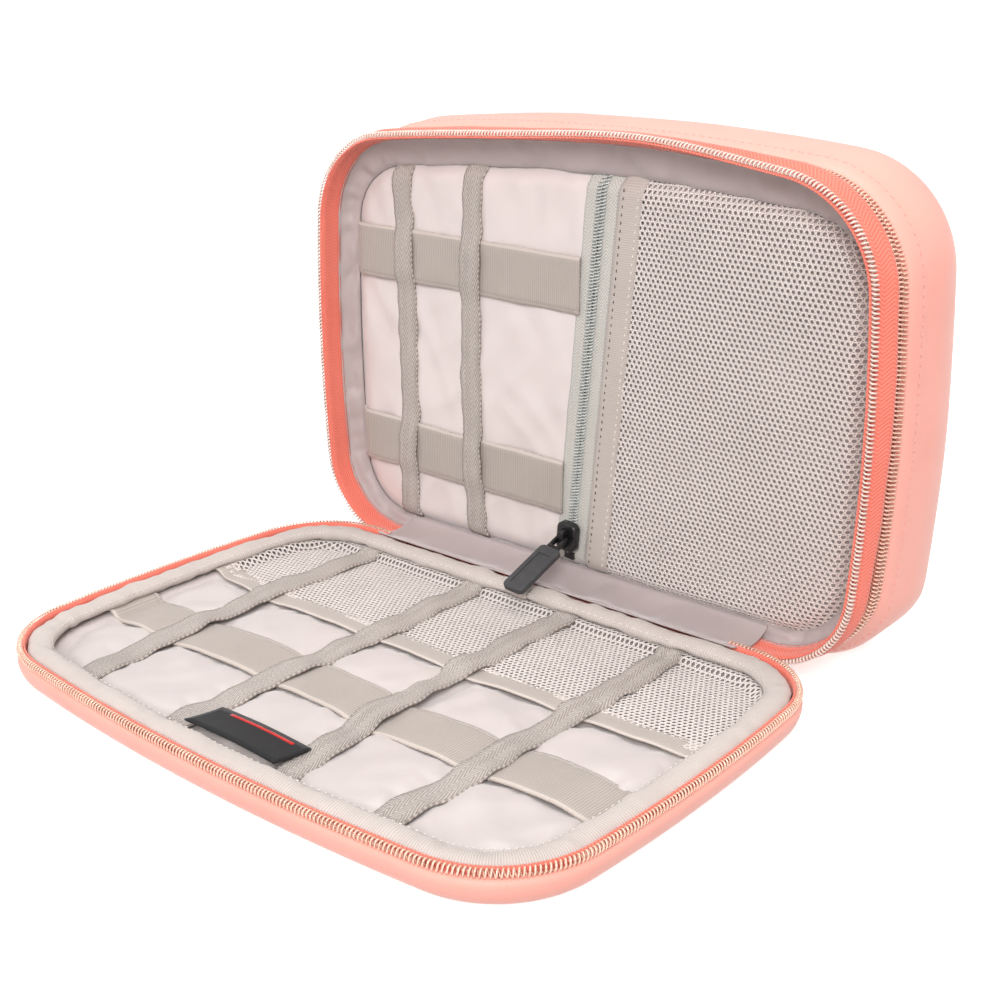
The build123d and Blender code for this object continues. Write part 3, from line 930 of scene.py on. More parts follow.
@dataclass(frozen=True)
class Coil:
    """A nylon coil: one wire wound along the zipper's edge."""

    pitch: float = 1.4
    wire: float = 0.36
    steps: int = 8

    def piece(self, name: str, material: Material, length: float, axis: Callable[[float], Vector],
              first: Callable[[float], Vector], second: Callable[[float], Vector],
              turn: float = 0.0) -> Object:
        """Wind the wire.

        Args:
            name: the piece's name.
            material: its finish.
            length: length of the coil in millimetres.
            axis: the coil's middle at a run, in metres.
            first: half its first width there, as a vector.
            second: half its second width there.
            turn: where in its turn the wire starts, in whole turns.

        Returns:
            The wound wire as a mesh piece.
        """
        count = int(length / self.pitch * self.steps)
        curve = bpy.data.curves.new(name, "CURVE")
        curve.dimensions = "3D"
        curve.bevel_depth = self.wire * MM
        curve.bevel_resolution = 0
        curve.use_fill_caps = True
        spline = curve.splines.new("POLY")
        spline.points.add(count)
        for number, point in enumerate(spline.points):
            run = number * self.pitch / self.steps
            angle = TAU * (number / self.steps + turn)
            place = axis(run) + first(run) * math.cos(angle) + second(run) * math.sin(angle)
            point.co = (*place, 1.0)
        source = bpy.data.objects.new(name + "_wire", curve)
        bpy.context.scene.collection.objects.link(source)
        bpy.context.view_layer.update()
        evaluated = source.evaluated_get(bpy.context.evaluated_depsgraph_get())
        data = bpy.data.meshes.new_from_object(evaluated)
        bpy.data.objects.remove(source)
        bpy.data.curves.remove(curve)
        data.name = name
        data.shade_smooth()
        data.materials.clear()
        data.materials.append(material)
        piece = bpy.data.objects.new(name, data)
        bpy.context.scene.collection.objects.link(piece)
        return piece

    def round_loop(self, name: str, material: Material, stance: Stance, inset: float, depth: float,
                   half_up: float, half_deep: float, turn: float = 0.0, bend: Bend | None = None) -> Object:
        """Wind the wire along the zipper's run round the loop."""
        start, end = LOOP.zip_span

        def point(run: float, more_in: float, more_deep: float) -> Vector:
            """A point beside the coil's middle line."""
            spot = LOOP.spot(start + run)
            at_inset, at_depth = inset + more_in, depth + more_deep
            if bend:
                at_inset, at_depth = bend(spot, 0, at_inset, at_depth)
            x, height = spot.inset(at_inset)
            return stance.place(x, at_depth, height)

        return self.piece(name, material, end - start, lambda run: point(run, 0, 0),
                          lambda run: point(run, half_up, 0) - point(run, 0, 0),
                          lambda run: point(run, 0, half_deep) - point(run, 0, 0), turn)


@dataclass(frozen=True)
class Stitching:
    """A row of stitches, each a small raised loop of thread."""

    length: float = 1.7
    pitch: float = 2.6
    thread: float = 0.25

    def piece(self, name: str, material: Material, length: float, path: Callable[[float], Vector]) -> Object:
        """Sew along a path given by its run in millimetres."""
        mesh = bmesh.new()
        for number in range(int(length / self.pitch)):
            run = number * self.pitch
            start, end = path(run), path(run + self.length)
            way = end - start
            turn = way.to_track_quat("X", "Z").to_matrix().to_4x4()
            size = Matrix.Diagonal((way.length / 2, self.thread * MM, self.thread * MM, 1))
            matrix = Matrix.Translation((start + end) / 2) @ turn @ size
            bmesh.ops.create_uvsphere(mesh, u_segments=5, v_segments=3, radius=1.0, matrix=matrix)
        return finished(name, mesh, material)


class Along(Enum):
    """Which way a ribbon runs."""

    ACROSS = "left to right"
    UP = "bottom to top"


@dataclass(frozen=True)
class Ribbon:
    """A flat elastic or strap with slightly wavy edges."""

    width: float
    wall: float = 0.9
    wave: float = 0.0
    wave_pitch: float = 8.0
    step: float = 1.5
    rows: int = 6

    def piece(self, name: str, material: Material, stance: Stance, along: Along, span: tuple[float, float],
              line: Callable[[float], float], depth: Callable[[float, float], float]) -> Object:
        """Lay the ribbon.

        Args:
            name: the piece's name.
            material: its finish.
            stance: standing or lying.
            along: the direction that it runs in.
            span: where it starts and ends in that direction.
            line: its middle line, sideways, at a place along it.
            depth: its depth at a place along it and a share across it from -1 to 1.

        Returns:
            The ribbon.
        """
        start, end = span
        columns = round((end - start) / self.step)
        runs = [start + (end - start) * number / columns for number in range(columns + 1)]
        seed = float(len(name)) * 7.3 + start

        def place(column: int, level: int) -> Vector:
            """Position of one point of the ribbon."""
            run, share = runs[column], 2 * level / self.rows - 1
            edge = self.wave * (0.5 * math.sin(TAU * run / self.wave_pitch + seed)
                                + 1.6 * ripple(run, seed, share * 9, self.wave_pitch))
            side = line(run) + share * self.width / 2 + (edge if abs(share) > 0.9 else 0.0) * share
            deep = depth(run, share)
            if along is Along.UP:
                return stance.place(side, deep, run)
            return stance.place(run, deep, side)

        mesh = woven(columns, self.rows, place,
                     lambda column, level: (runs[column], (2 * level / self.rows - 1) * self.width / 2))
        return finished(name, mesh, material, self.wall)


@dataclass(frozen=True)
class Billow:
    """A cloth settling that puffs a sewn-down sheet out between its seams."""

    push: float = 14.0
    spare: float = 0.03
    cap: float = 2.2
    frames: int = 18
    sink: float = 0.3
    drift: float = 0.6

    def settle(self, piece: Object, way: Vector, held: Callable[[Vector], float]) -> None:
        """Run the cloth and write its shape back, each point moved at most cap.

        Args:
            piece: the sheet.
            way: the direction that it puffs out in.
            held: how firmly a point is sewn down, from 0 to 1.
        """
        data = piece.data
        rest = [vertex.co.copy() for vertex in data.vertices]
        grip = [held(co) for co in rest]
        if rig.quick():
            for vertex, co, firm in zip(data.vertices, rest, grip):
                vertex.co = co + way * (1 - firm) * self.cap * 0.3 * MM
            return
        group = piece.vertex_groups.new(name="sewn")
        for number, firm in enumerate(grip):
            group.add([number], firm, "REPLACE")
        scene = bpy.context.scene
        gravity = scene.gravity.copy()
        scene.gravity = way * self.push
        cloth = piece.modifiers.new("cloth", "CLOTH")
        settings = cloth.settings
        settings.quality = 5
        settings.mass = 0.15
        settings.tension_stiffness = settings.compression_stiffness = 12.0
        settings.shear_stiffness = 4.0
        settings.bending_stiffness = 0.12
        settings.air_damping = 3.0
        settings.vertex_group_mass = group.name
        settings.shrink_min = settings.shrink_max = -self.spare
        settings.effector_weights.gravity = 1.0
        cloth.collision_settings.use_collision = False
        cloth.point_cache.frame_start, cloth.point_cache.frame_end = 1, self.frames
        for number in range(1, self.frames + 1):
            scene.frame_set(number)
        evaluated = piece.evaluated_get(bpy.context.evaluated_depsgraph_get())
        settled = [vertex.co.copy() for vertex in evaluated.data.vertices]
        piece.modifiers.remove(cloth)
        piece.vertex_groups.remove(group)
        scene.gravity = gravity
        scene.frame_set(1)
        for vertex, co, found, firm in zip(data.vertices, rest, settled, grip):
            move = found - co
            limit = self.cap * (1 - firm) * MM
            out = max(-self.sink * MM, min(move.dot(way), limit))
            drift = (move - way * move.dot(way)) * (1 - firm)
            if drift.length > self.drift * MM:
                drift = drift.normalized() * self.drift * MM
            vertex.co = co + way * out + drift


# ------------------------------------------------------------------------------ gusset and its zippers
def sunk_at_top(spot: Spot, level: int, inset: float, depth: float) -> tuple[float, float]:
    """The rear zipper lies lower between the cloths along the crown than at the sides."""
    return inset + 1.3 * max(0.0, spot.out_up), depth


@dataclass
class Gusset:
    """The loop between the two zippers: coils, tapes, outer band and gathered lining."""

    palette: Palette
    crown_rise: float = 3.2
    crown_at: float = 32.0
    crown_reach: float = 42.0
    depth: float = 17.0

    def sway(self, spot: Spot, level: int, inset: float, depth: float) -> tuple[float, float]:
        """The mouth of the standing body lifts softly at the right of its crown."""
        fade = ease(1 - depth / self.depth) if depth > 0 else 1.0
        top = ease((spot.out_up - 0.3) / 0.5)
        return inset - self.crown_rise * hump(spot.x, self.crown_at, self.crown_reach) * fade * top, depth

    def gathered(self, spot: Spot, level: int, inset: float, depth: float) -> tuple[float, float]:
        """The lining's gathers: soft radial folds that are deepest halfway in."""
        inset, depth = self.sway(spot, level, inset, depth)
        inset += (panel_rim(spot) - PANEL_INSET) * ease(level / 6.0)
        share = hump(level, 4.0, 2.6)
        fold = 1.3 * ripple(spot.run, level * 2.0, 3.0, 10.0) + 0.6 * ripple(spot.run, level * 1.5, 9.0, 4.5)
        return inset + 1.2 * fold * share, depth - 1.2 * fold * share

    def folded(self, spot: Spot, level: int, inset: float, depth: float) -> tuple[float, float]:
        """The outer band's fold, fullest beside the top right corner."""
        inset, depth = self.sway(spot, level, inset, depth)
        full = 0.7 + 1.9 * hump(spot.run, LOOP.length * 0.3, 80.0)
        out = full * hump(level, 4.2, 1.5) + 0.25 * ripple(spot.run, level, 0.0, 14.0)
        return inset - out, depth + 0.4 * full * hump(level, 4.2, 1.5)

    def build(self) -> None:
        """Make the gusset's pieces."""
        body, zipped = "pouch_body", LOOP.zip_span
        coil = Coil()
        front = coil.round_loop("front_body_coil", self.palette.coil, Stance.STANDING, 1.15, 1.5, 0.95, 1.35,
                                bend=self.sway)
        attach(front, body, "zipper_coil", "front_zipper_body_coil")
        rear = coil.round_loop("rear_body_coil", self.palette.rose_coil, Stance.STANDING, 0.3, 15.5,
                               0.95, 1.4, bend=sunk_at_top)
        attach(rear, body, "zipper_coil", "rear_zipper_body_coil")
        tape_rows = [Row(2.45, 0.2), Row(2.5, 3.0), Row(2.7, 5.5), Row(3.0, 8.0), Row(3.6, 9.6)]
        tape = Sweep(tape_rows, span=zipped, bend=self.sway).piece("front_body_tape", self.palette.tape, 0.5)
        attach(tape, body, "zipper_tape", "front_zipper_body_tape")
        rear_rows = [Row(2.4, 11.4), Row(2.4, 14.0), Row(2.4, 16.7)]
        rear_tape = Sweep(rear_rows, span=zipped).piece("rear_body_tape", self.palette.tape, 0.4)
        attach(rear_tape, body, "zipper_tape", "rear_zipper_body_tape")
        band_rows = [Row(2.2, 3.1), Row(1.3, 3.6), Row(0.8, 4.8), Row(0.5, 6.4), Row(0.2, 8.0), Row(0.3, 9.4),
                     Row(0.9, 10.4), Row(1.3, 11.4), Row(1.5, 12.8), Row(2.1, 14.0)]
        band = Sweep(band_rows, bend=self.folded, step=2.0).piece("gusset_band", self.palette.tape, 0.6, 1)
        attach(band, body, "zipper_tape", "gusset_shell")
        lining_rows = [Row(3.5, 8.8), Row(3.4, 9.8), Row(4.3, 11.0), Row(5.6, 11.9), Row(6.9, 12.6),
                       Row(8.0, 13.2), Row(8.9, 13.9), Row(9.3, 15.0)]
        gathers = Sweep(lining_rows, bend=self.gathered, step=1.6)
        # The gathered collar takes the darker satin with its painted shade.
        lining = gathers.piece("gusset_gathers", self.palette.collar, 0.5, 1)
        attach(lining, body, "satin_lining", "gusset_lining")
        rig.sheet(lining, flat=(LOOP.length * MM, 0.0105), held="gathered", rests_on=["partition_board"],
                 area=LOOP.length * MM * 0.0098)


# ------------------------------------------------------------------------------ the padded partition
@dataclass
class Partition:
    """The padded wall: satin panel, elastics, straps, leaning pocket zipper, binding and net."""

    palette: Palette
    face: float = 12.9
    zip_low: tuple[float, float] = (-1.5, 20.0)
    lean: float = math.radians(5.0)
    tape_half: float = 7.0
    tape_ends: tuple[float, float] = (14.0, 159.0)
    coil_top: float = 158.5
    band_width: float = 9.8
    straps: tuple[float, float] = (-83.0, -47.0)
    strap_width: float = 9.0
    bands: tuple[float, float] = (120.16, 44.72)
    band_height: float = 20.0

    def zip_x(self, height: float) -> float:
        """The middle of the leaning pocket zipper at a height."""
        return self.zip_low[0] + math.tan(self.lean) * (height - self.zip_low[1])

    def net_edge(self, height: float) -> float:
        """Where the net starts, right of the binding."""
        return self.zip_x(height) + self.tape_half + self.band_width + 0.1

    def roll(self, x: float, height: float) -> float:
        """How far the padded panel has rolled back into the crease round it, from 0 to 1."""
        inside, spot = LOOP.clearance(x, height)
        return 1 - ease((inside - panel_rim(spot) + 1.0) / 6.0)

    def sewn(self, x: float, height: float) -> float:
        """How firmly the panel is held down: at its rim, under straps and bands, and behind the net."""
        under_strap = max(hump(x, place, 3.5) for place in self.straps)
        under_band = max(hump(height, place, 9.0) for place in self.bands) if x < self.zip_x(height) else 0.0
        pocket = ease((x - self.zip_x(height) + 9.0) / 4.0)
        return min(1.0, max(self.roll(x, height), 0.75 * under_strap, 0.8 * under_band, pocket))

    def panel_depth(self, x: float, height: float) -> float:
        """The panel's face: it rolls back at its border and is creased where it isn't held."""
        crease = 1.3 * rumple(x, height, 14.0) * (1 - self.sewn(x, height))
        return self.face + 3.2 * self.roll(x, height) - crease

    def _panel(self) -> None:
        """The padded satin panel, settled as cloth between its seams."""
        grid = sheet_grid(2.4, lambda spot: panel_rim(spot) - 1.0)
        mesh = stand(grid, Stance.STANDING, self.panel_depth)
        # The panel's satin carries painted shade behind the net, for the shadow inside the pocket.
        panel = finished("padded_panel", mesh, self.palette.panel)
        Billow(cap=2.1).settle(panel, Vector((0, -1, 0)), lambda co: self.sewn(co.x / MM, co.z / MM))
        smooth = panel.modifiers.new("subdivision", "SUBSURF")
        smooth.levels = smooth.render_levels = 1
        attach(panel, "pouch_body", "satin_lining", "partition_front_panel")
        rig.padded(panel, fill=0.35)
        mesh = stand(sheet_grid(5.0, lambda spot: 3.3), Stance.STANDING,
                     lambda x, height: 18.5 + 0.3 * ripple(x, height, 0.0, 30.0))
        rear = finished("rear_panel", mesh, self.palette.satin, 0.5, 1)
        attach(rear, "pouch_body", "satin_lining", "partition_rear_lining")
        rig.sheet(rear, flat=(0.234, 0.158), held="stretched", rests_on=["partition_board"],
                 area=0.234 * 0.158 * 0.97)

    def _elastics(self) -> None:
        """Two wide ribbed elastics, pulled flat and bowed a little between the straps."""
        for name, height in zip(("upper", "lower"), self.bands):
            end = self.zip_x(height) - self.tape_half + 1.0

            def depth(x: float, share: float) -> float:
                """Close to the panel at the straps, fuller between them."""
                tied = max(hump(x, place, 6.0) for place in self.straps)
                bow = 0.5 * tied - 0.35 * (1 - tied) + 0.3 * ripple(x, share * 5, height, 16.0)
                return 11.9 + bow + 3.6 * self.roll(x, height)

            band = Ribbon(self.band_height, rows=8, wave=0.15, wave_pitch=23.0).piece(
                f"{name}_elastic", self.palette.elastic, Stance.STANDING, Along.ACROSS, (-111.5, end),
                lambda x: height + 0.5 * ripple(x, height, 0.0, 40.0) - 0.012 * (x + 55), depth)
            attach(band, "pouch_body", "wide_elastic", f"partition_elastic_{name}")

    def _straps(self) -> None:
        """Two narrow herringbone straps over the elastics."""
        for name, x, sway in (("left", self.straps[0], 1.5), ("right", self.straps[1], -2.5)):
            bottom, top = 14.5, 158.0 if name == "right" else 156.5

            def line(height: float) -> float:
                """The strap wanders sideways between its seams."""
                bow = sway * math.sin(math.pi * (height - bottom) / (top - bottom))
                return x + bow + 0.9 * ripple(height, x, 0.0, 22.0)

            def depth(height: float, share: float) -> float:
                """It rises over the elastics and turns its edges a little."""
                over = max(ease(1.4 - abs(height - place) / self.band_height * 2) for place in self.bands)
                end = ease((height - bottom) / 9.0) * ease((top - height) / 9.0)
                turn = 0.7 * share * ripple(height, x, 5.0, 13.0)
                return self.face + 3.4 * self.roll(x, height) - 1.6 * over * end - 1.0 + turn

            strap = Ribbon(self.strap_width, wave=0.4, wave_pitch=11.0).piece(
                f"{name}_strap", self.palette.strap, Stance.STANDING, Along.UP, (bottom, top), line, depth)
            attach(strap, "pouch_body", "strap_webbing", f"partition_strap_{name}")

    def _pocket(self) -> None:
        """The leaning zipper with its tapes and shut coil, the stitched binding and the net."""
        palette, body, standing = self.palette, "pouch_body", Stance.STANDING
        for name, side in (("left", -1), ("right", 1)):
            tape = Ribbon(self.tape_half - 0.2, 0.5, wave=0.2, wave_pitch=17.0).piece(
                f"pocket_tape_{name}", palette.pocket_tape, standing, Along.UP, self.tape_ends,
                lambda height: self.zip_x(height) + side * (self.tape_half / 2 + 0.1),
                lambda height, share: 12.4 + 0.2 * side * share + 3.4 * self.roll(0.0, height)
                + 0.2 * ripple(height, side, 0.0, 15.0))
            attach(tape, body, "pocket_zipper_tape", f"pocket_zipper_tape_{name}")
        for name, side in (("left", -1), ("right", 1)):

            def middle(run: float) -> Vector:
                """The coil's middle, which follows the panel's roll at both ends."""
                height = self.zip_low[1] + run
                depth = 11.55 + 3.4 * self.roll(0.0, height)
                return standing.place(self.zip_x(height) + side * 0.95, depth, height)

            coil = Coil(pitch=1.15, wire=0.3).piece(
                f"pocket_coil_{name}", palette.grey_coil, self.coil_top - self.zip_low[1], middle,
                lambda run: Vector((1.05, 0, 0)) * MM, lambda run: Vector((0, 0.5, 0)) * MM, 0.25 * side)
            attach(coil, body, "pocket_zipper_coil", "pocket_zipper_coil")

        def binding_line(height: float) -> float:
            """The binding's middle: it follows the zipper and turns outwards at its foot."""
            return self.zip_x(height) + self.tape_half + self.band_width / 2 + 0.1

        binding = Ribbon(self.band_width, 0.8, wave=0.12, wave_pitch=30.0).piece(
            "pocket_edge_band", palette.band, standing, Along.UP, self.tape_ends, binding_line,
            lambda height, share: 11.6 - 0.35 * (1 - share ** 2) + 0.2 * ripple(height, share, 2.0, 14.0)
            + 4.0 * self.roll(14.0, height))
        attach(binding, body, "rim_binding", "pocket_binding")
        # The first row's near-black stitches paint the shade in its stitch holes; the second row is cream thread.
        stitch_rows = ((-2.6, palette.dark_thread), (3.4, palette.thread))
        for number, (side, thread) in enumerate(stitch_rows, start=1):
            row = Stitching(1.5, 2.7).piece(
                f"pocket_stitches_{number}", thread, 138.0,
                lambda run: standing.place(binding_line(18.0 + run) + side, 10.95, 18.0 + run))
            attach(row, body, "rim_binding")
        net = Net(1.95, 0.82).mesh(lambda spot: panel_rim(spot) - 1.2,
                                   lambda x, height: x > self.net_edge(height) - 1.5)

        def net_depth(x: float, height: float) -> float:
            """The net bulges in front of the panel and runs back into the crease round it."""
            bulge = 11.5 + 3.9 * self.roll(x, height) + 0.5 * ripple(x, height, 0.0, 28.0)
            return bulge - 0.3 * rumple(x, height, 24.0)

        stand(net, standing, net_depth)
        net_piece = finished("pocket_net", net, palette.net, 0.35)
        attach(net_piece, body, "net_fabric", "partition_net_pocket")
        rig.sheet(net_piece, flat=(0.095, 0.146), held="stretched", rests_on=["padded_panel"])

    def build(self) -> None:
        """Make the partition's pieces."""
        self._panel()
        self._elastics()
        self._straps()
        self._pocket()


# ------------------------------------------------------------------------------ the open front lid
@dataclass
class FrontLid:
    """The shallow lid: coated shell, zipper half, padded binding, satin floor, net, band and straps."""

    palette: Palette
    floor: float = -8.9
    straps: tuple[float, ...] = (-76.0, -26.0, 20.0, 61.0)
    strap_width: float = 10.0
    band_at: float = 108.7
    band_width: float = 20.0
    hem_at: float = 69.3
    hem_width: float = 9.0
    hem_sewn: float = 99.0
    elastic_end: float = 113.0
    strap_ends: tuple[float, float] = (13.5, 161.0)
    inner: float = 11.6

    def tray(self, x: float, height: float) -> float:
        """The satin floor's depth: creased, and coved up to the binding."""
        inside = LOOP.clearance(x, height)[0] - self.inner
        cove = 1 - ease(inside / 3.5)
        return self.floor + 2.4 * cove + 1.5 * rumple(x, height, 14.0) * (1 - self.sewn(x, height))

    def puckered(self, spot: Spot, level: int, inset: float, depth: float) -> tuple[float, float]:
        """The binding's soft lumps and puckers; its first and last rows agree, so that it stays shut."""
        around = TAU * (level % 12) / 12
        side, up = 9 * math.cos(around), 9 * math.sin(around)
        broad = 0.9 * ripple(spot.run, side * 0.5, up * 0.5, 14.0)
        lump = broad + 0.9 * ripple(spot.run, side * 0.4, 50.0, 4.6)
        return inset - lump * 0.7 * math.cos(around), depth + lump * math.sin(around)

    def _shell(self) -> None:
        """The coated outer shell, soft at its edge and flat where it lies on the ground."""
        edge = [Row(2.3, -3.4), Row(1.2, -3.7), Row(0.3, -4.3), Row(-0.1, -5.4), Row(0.0, -7.0),
                Row(0.6, -9.0), Row(1.8, -11.0), Row(3.6, -12.8), Row(6.2, -14.0), Row(9.4, -14.5)]
        flat = [Row(12.0, -14.55, shrink=share) for share in (1.0, 0.8, 0.55, 0.3, 0.12, 0.0)]
        sweep = Sweep(smoothed(edge) + flat, Stance.LYING, step=2.0)
        shell = sweep.piece("lid_shell", self.palette.shell, 1.2, 0, -1.0)
        attach(shell, "front_lid", "shell_fabric", "lid_outer_shell", "lid_foam")
        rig.padded(shell, fill=0.4)

    def _zipper(self) -> None:
        """The lid's half of the front zipper."""
        coil = Coil().round_loop("lid_coil", self.palette.rose_coil, Stance.LYING, 1.15, -2.1, 0.95, 1.35)
        attach(coil, "front_lid", "zipper_coil", "lid_zipper_coil")
        rows = [Row(2.5, -0.9), Row(2.6, -2.5), Row(2.7, -4.5), Row(2.8, -7.0)]
        tape = Sweep(rows, Stance.LYING, LOOP.zip_span).piece("lid_tape", self.palette.tape, 0.5)
        attach(tape, "front_lid", "zipper_tape", "lid_zipper_tape")

    def _binding(self) -> None:
        """The padded grosgrain binding round the mouth, with its inner row of stitches."""
        middle, half_wide, half_high, points = 7.7, 4.5, 2.5, 12
        rows = []
        for number in range(points + 1):
            angle = TAU * number / points
            rows.append(Row(middle - half_wide * math.cos(angle), -3.3 + half_high * math.sin(angle)))
        binding = Sweep(rows, Stance.LYING, bend=self.puckered, step=1.6).piece(
            "padded_binding", self.palette.binding, levels=1)
        attach(binding, "front_lid", "rim_binding", "lid_rim_binding")
        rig.padded(binding, fill=0.75)

        def seam(run: float) -> Vector:
            """The stitch line near the binding's inner edge."""
            spot = LOOP.spot(run)
            x, height = spot.inset(11.5)
            return Stance.LYING.place(x, -1.9 + 0.2 * ripple(run, 0.0, 0.0, 12.0), height)

        stitches = Stitching(1.5, 2.7, 0.2).piece("binding_stitches", self.palette.thread, LOOP.length, seam)
        attach(stitches, "front_lid", "rim_binding")

    def sewn(self, x: float, height: float) -> float:
        """How firmly the satin floor is held down: at its rim, under the straps and under the net."""
        rim = 1 - ease((LOOP.clearance(x, height)[0] - self.inner) / 6.0)
        strap = max(hump(x, place, 4.5) for place in self.straps)
        band = max(hump(height, self.band_at, 9.0), hump(height, self.hem_at, 5.0))
        pocket = ease((self.hem_at - height) / 5.0)
        return min(1.0, max(rim, 0.92 * strap, 0.9 * band, pocket))

    def _lining(self) -> None:
        """The satin tray, settled as cloth between its seams."""
        mesh = stand(sheet_grid(2.3, lambda spot: 6.0), Stance.LYING, self.tray)
        # The tray's satin is a darker copy with painted shade, darkest behind the net pocket.
        lining = finished("satin_tray", mesh, self.palette.floor)
        Billow(cap=2.6, spare=0.035).settle(lining, Vector((0, 0, 1)),
                                            lambda co: self.sewn(co.x / MM, HINGE.y + HINGE.z - co.y / MM))
        smooth = lining.modifiers.new("subdivision", "SUBSURF")
        smooth.levels = smooth.render_levels = 1
        attach(lining, "front_lid", "satin_lining", "lid_lining")
        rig.padded(lining, fill=0.3)

    def _pocket(self) -> None:
        """The net pocket beside the hinge and its hem."""
        net = Net(1.9, 0.72).mesh(lambda spot: self.inner - 3.0, lambda x, height: height < self.hem_at - 2.5)
        stand(net, Stance.LYING, lambda x, height: self.tray(x, height) + 0.8 + 0.9 * ease((height - 22) / 20)
              + 0.6 * ripple(x, height, 3.0, 24.0))
        piece = finished("lid_net", net, self.palette.net, 0.35)
        attach(piece, "front_lid", "net_fabric", "lid_net_pocket")
        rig.sheet(piece, flat=(0.221, 0.05), held="stretched", rests_on=["satin_tray"])

        def hem_line(x: float) -> float:
            """The hem's middle, bowed a little towards the hinge at its ends."""
            return self.hem_at + 1.2 * ripple(x, 0.0, 0.0, 45.0) - 3.0 * ease((abs(x) - 80) / 25)

        def hem_depth(x: float, share: float) -> float:
            """The hem lifts off the floor between the straps."""
            tied = max(hump(x, place, 9.0) for place in self.straps)
            lift = 1.3 * (1 - tied) * ease((103 - abs(x)) / 15) * (0.6 + 0.4 * share)
            return max(self.floor, self.tray(x, self.hem_at)) + 1.3 + lift

        hem = Ribbon(self.hem_width, 0.8, rows=4).piece(
            "net_hem", self.palette.hem, Stance.LYING, Along.ACROSS,
            (-self.elastic_end, self.elastic_end), hem_line, hem_depth)
        attach(hem, "front_lid", "wide_elastic", "lid_net_hem")

        def seam(run: float) -> Vector:
            """The stitch line near the hem's hinge edge."""
            x = run - self.hem_sewn
            return Stance.LYING.place(x, hem_depth(x, -0.75) + 0.5, hem_line(x) - 3.4)

        sewn = Stitching(1.7, 2.4, 0.22).piece("hem_stitches", self.palette.thread, 2 * self.hem_sewn, seam)
        attach(sewn, "front_lid", "wide_elastic")

    def _straps(self) -> None:
        """The wide elastic and the four wavy straps over it."""

        def band_depth(x: float, share: float) -> float:
            """The elastic lifts off the floor between the straps."""
            tied = max(hump(x, place, 9.0) for place in self.straps)
            lift = 1.5 * (1 - tied) * ease((104 - abs(x)) / 14) + 0.35 * ripple(x, share, 0.0, 14.0)
            return max(self.floor, self.tray(x, self.band_at)) + 1.3 + lift

        band = Ribbon(self.band_width, rows=8, wave=0.2, wave_pitch=31.0).piece(
            "lid_elastic", self.palette.elastic, Stance.LYING, Along.ACROSS,
            (-self.elastic_end, self.elastic_end),
            lambda x: self.band_at + 2.5 * ripple(x, 4.0, 0.0, 60.0), band_depth)
        attach(band, "front_lid", "wide_elastic", "lid_elastic_band")
        wander = ((-2.5, 4.0), (1.5, -1.5), (-3.5, 4.5), (2.0, -1.0))
        for number, (x, (bow, slant)) in enumerate(zip(self.straps, wander), start=1):

            def line(height: float) -> float:
                """The strap bows and slants between its ends."""
                share = (height - 12) / 148
                middle = x + bow * math.sin(math.pi * share) + slant * (share - 0.5)
                return middle + 1.6 * ripple(height, x, 0.0, 26.0)

            def depth(height: float, share: float) -> float:
                """It arches between the places where it is tacked down."""
                ends = ease((height - 16) / 9.0) * ease((158 - height) / 9.0)
                over = max(ease(1.5 - abs(height - self.band_at) / 10.0),
                           ease(1.6 - abs(height - self.hem_at) / 4.5))
                arch = 1.3 * math.sin(TAU * (height - 20) / 44 + x * 0.05) ** 2
                turn = share * ripple(height, x, 5.0, 12.0)
                floor = max(self.floor, self.tray(x, height))
                return floor + 1.2 + (0.7 + 1.0 * over + arch * 0.7 + turn * 0.8) * ends

            strap = Ribbon(self.strap_width, wave=0.45, wave_pitch=12.0).piece(
                f"lid_strap_{number}_webbing", self.palette.strap, Stance.LYING, Along.UP, self.strap_ends,
                line, depth)
            attach(strap, "front_lid", "strap_webbing", f"lid_strap_{number}")

    def _label(self) -> None:
        """A plain folded label at the front edge, with one red line."""
        middle, half, low, high = -1.0, 20.0, 140.5, 155.0

        def depth(x: float, share: float) -> float:
            """The label lies from the straps up onto the binding, and curls a little."""
            curl = 0.7 * math.sin(math.pi * (x - middle + half) / (2 * half))
            return -5.4 + curl + 1.9 * ((share + 1) / 2) ** 1.5

        label = Ribbon(high - low, 0.6, rows=6).piece(
            "plain_label", self.palette.black_cloth, Stance.LYING, Along.ACROSS,
            (middle - half, middle + half), lambda x: (low + high) / 2, depth)
        attach(label, "front_lid", "label_cloth", "lid_label")
        red = Ribbon(1.0, 0.25, rows=2).piece(
            "label_red_line", self.palette.red_cloth, Stance.LYING, Along.ACROSS, (middle - 13, middle + 15),
            lambda x: low + 2.3, lambda x, share: depth(x, -0.7) + 0.45)
        attach(red, "front_lid", "label_cloth")

    def build(self) -> None:
        """Make the lid's pieces."""
        self._shell()
        self._zipper()
        self._binding()
        self._lining()
        self._pocket()
        self._straps()
        self._label()


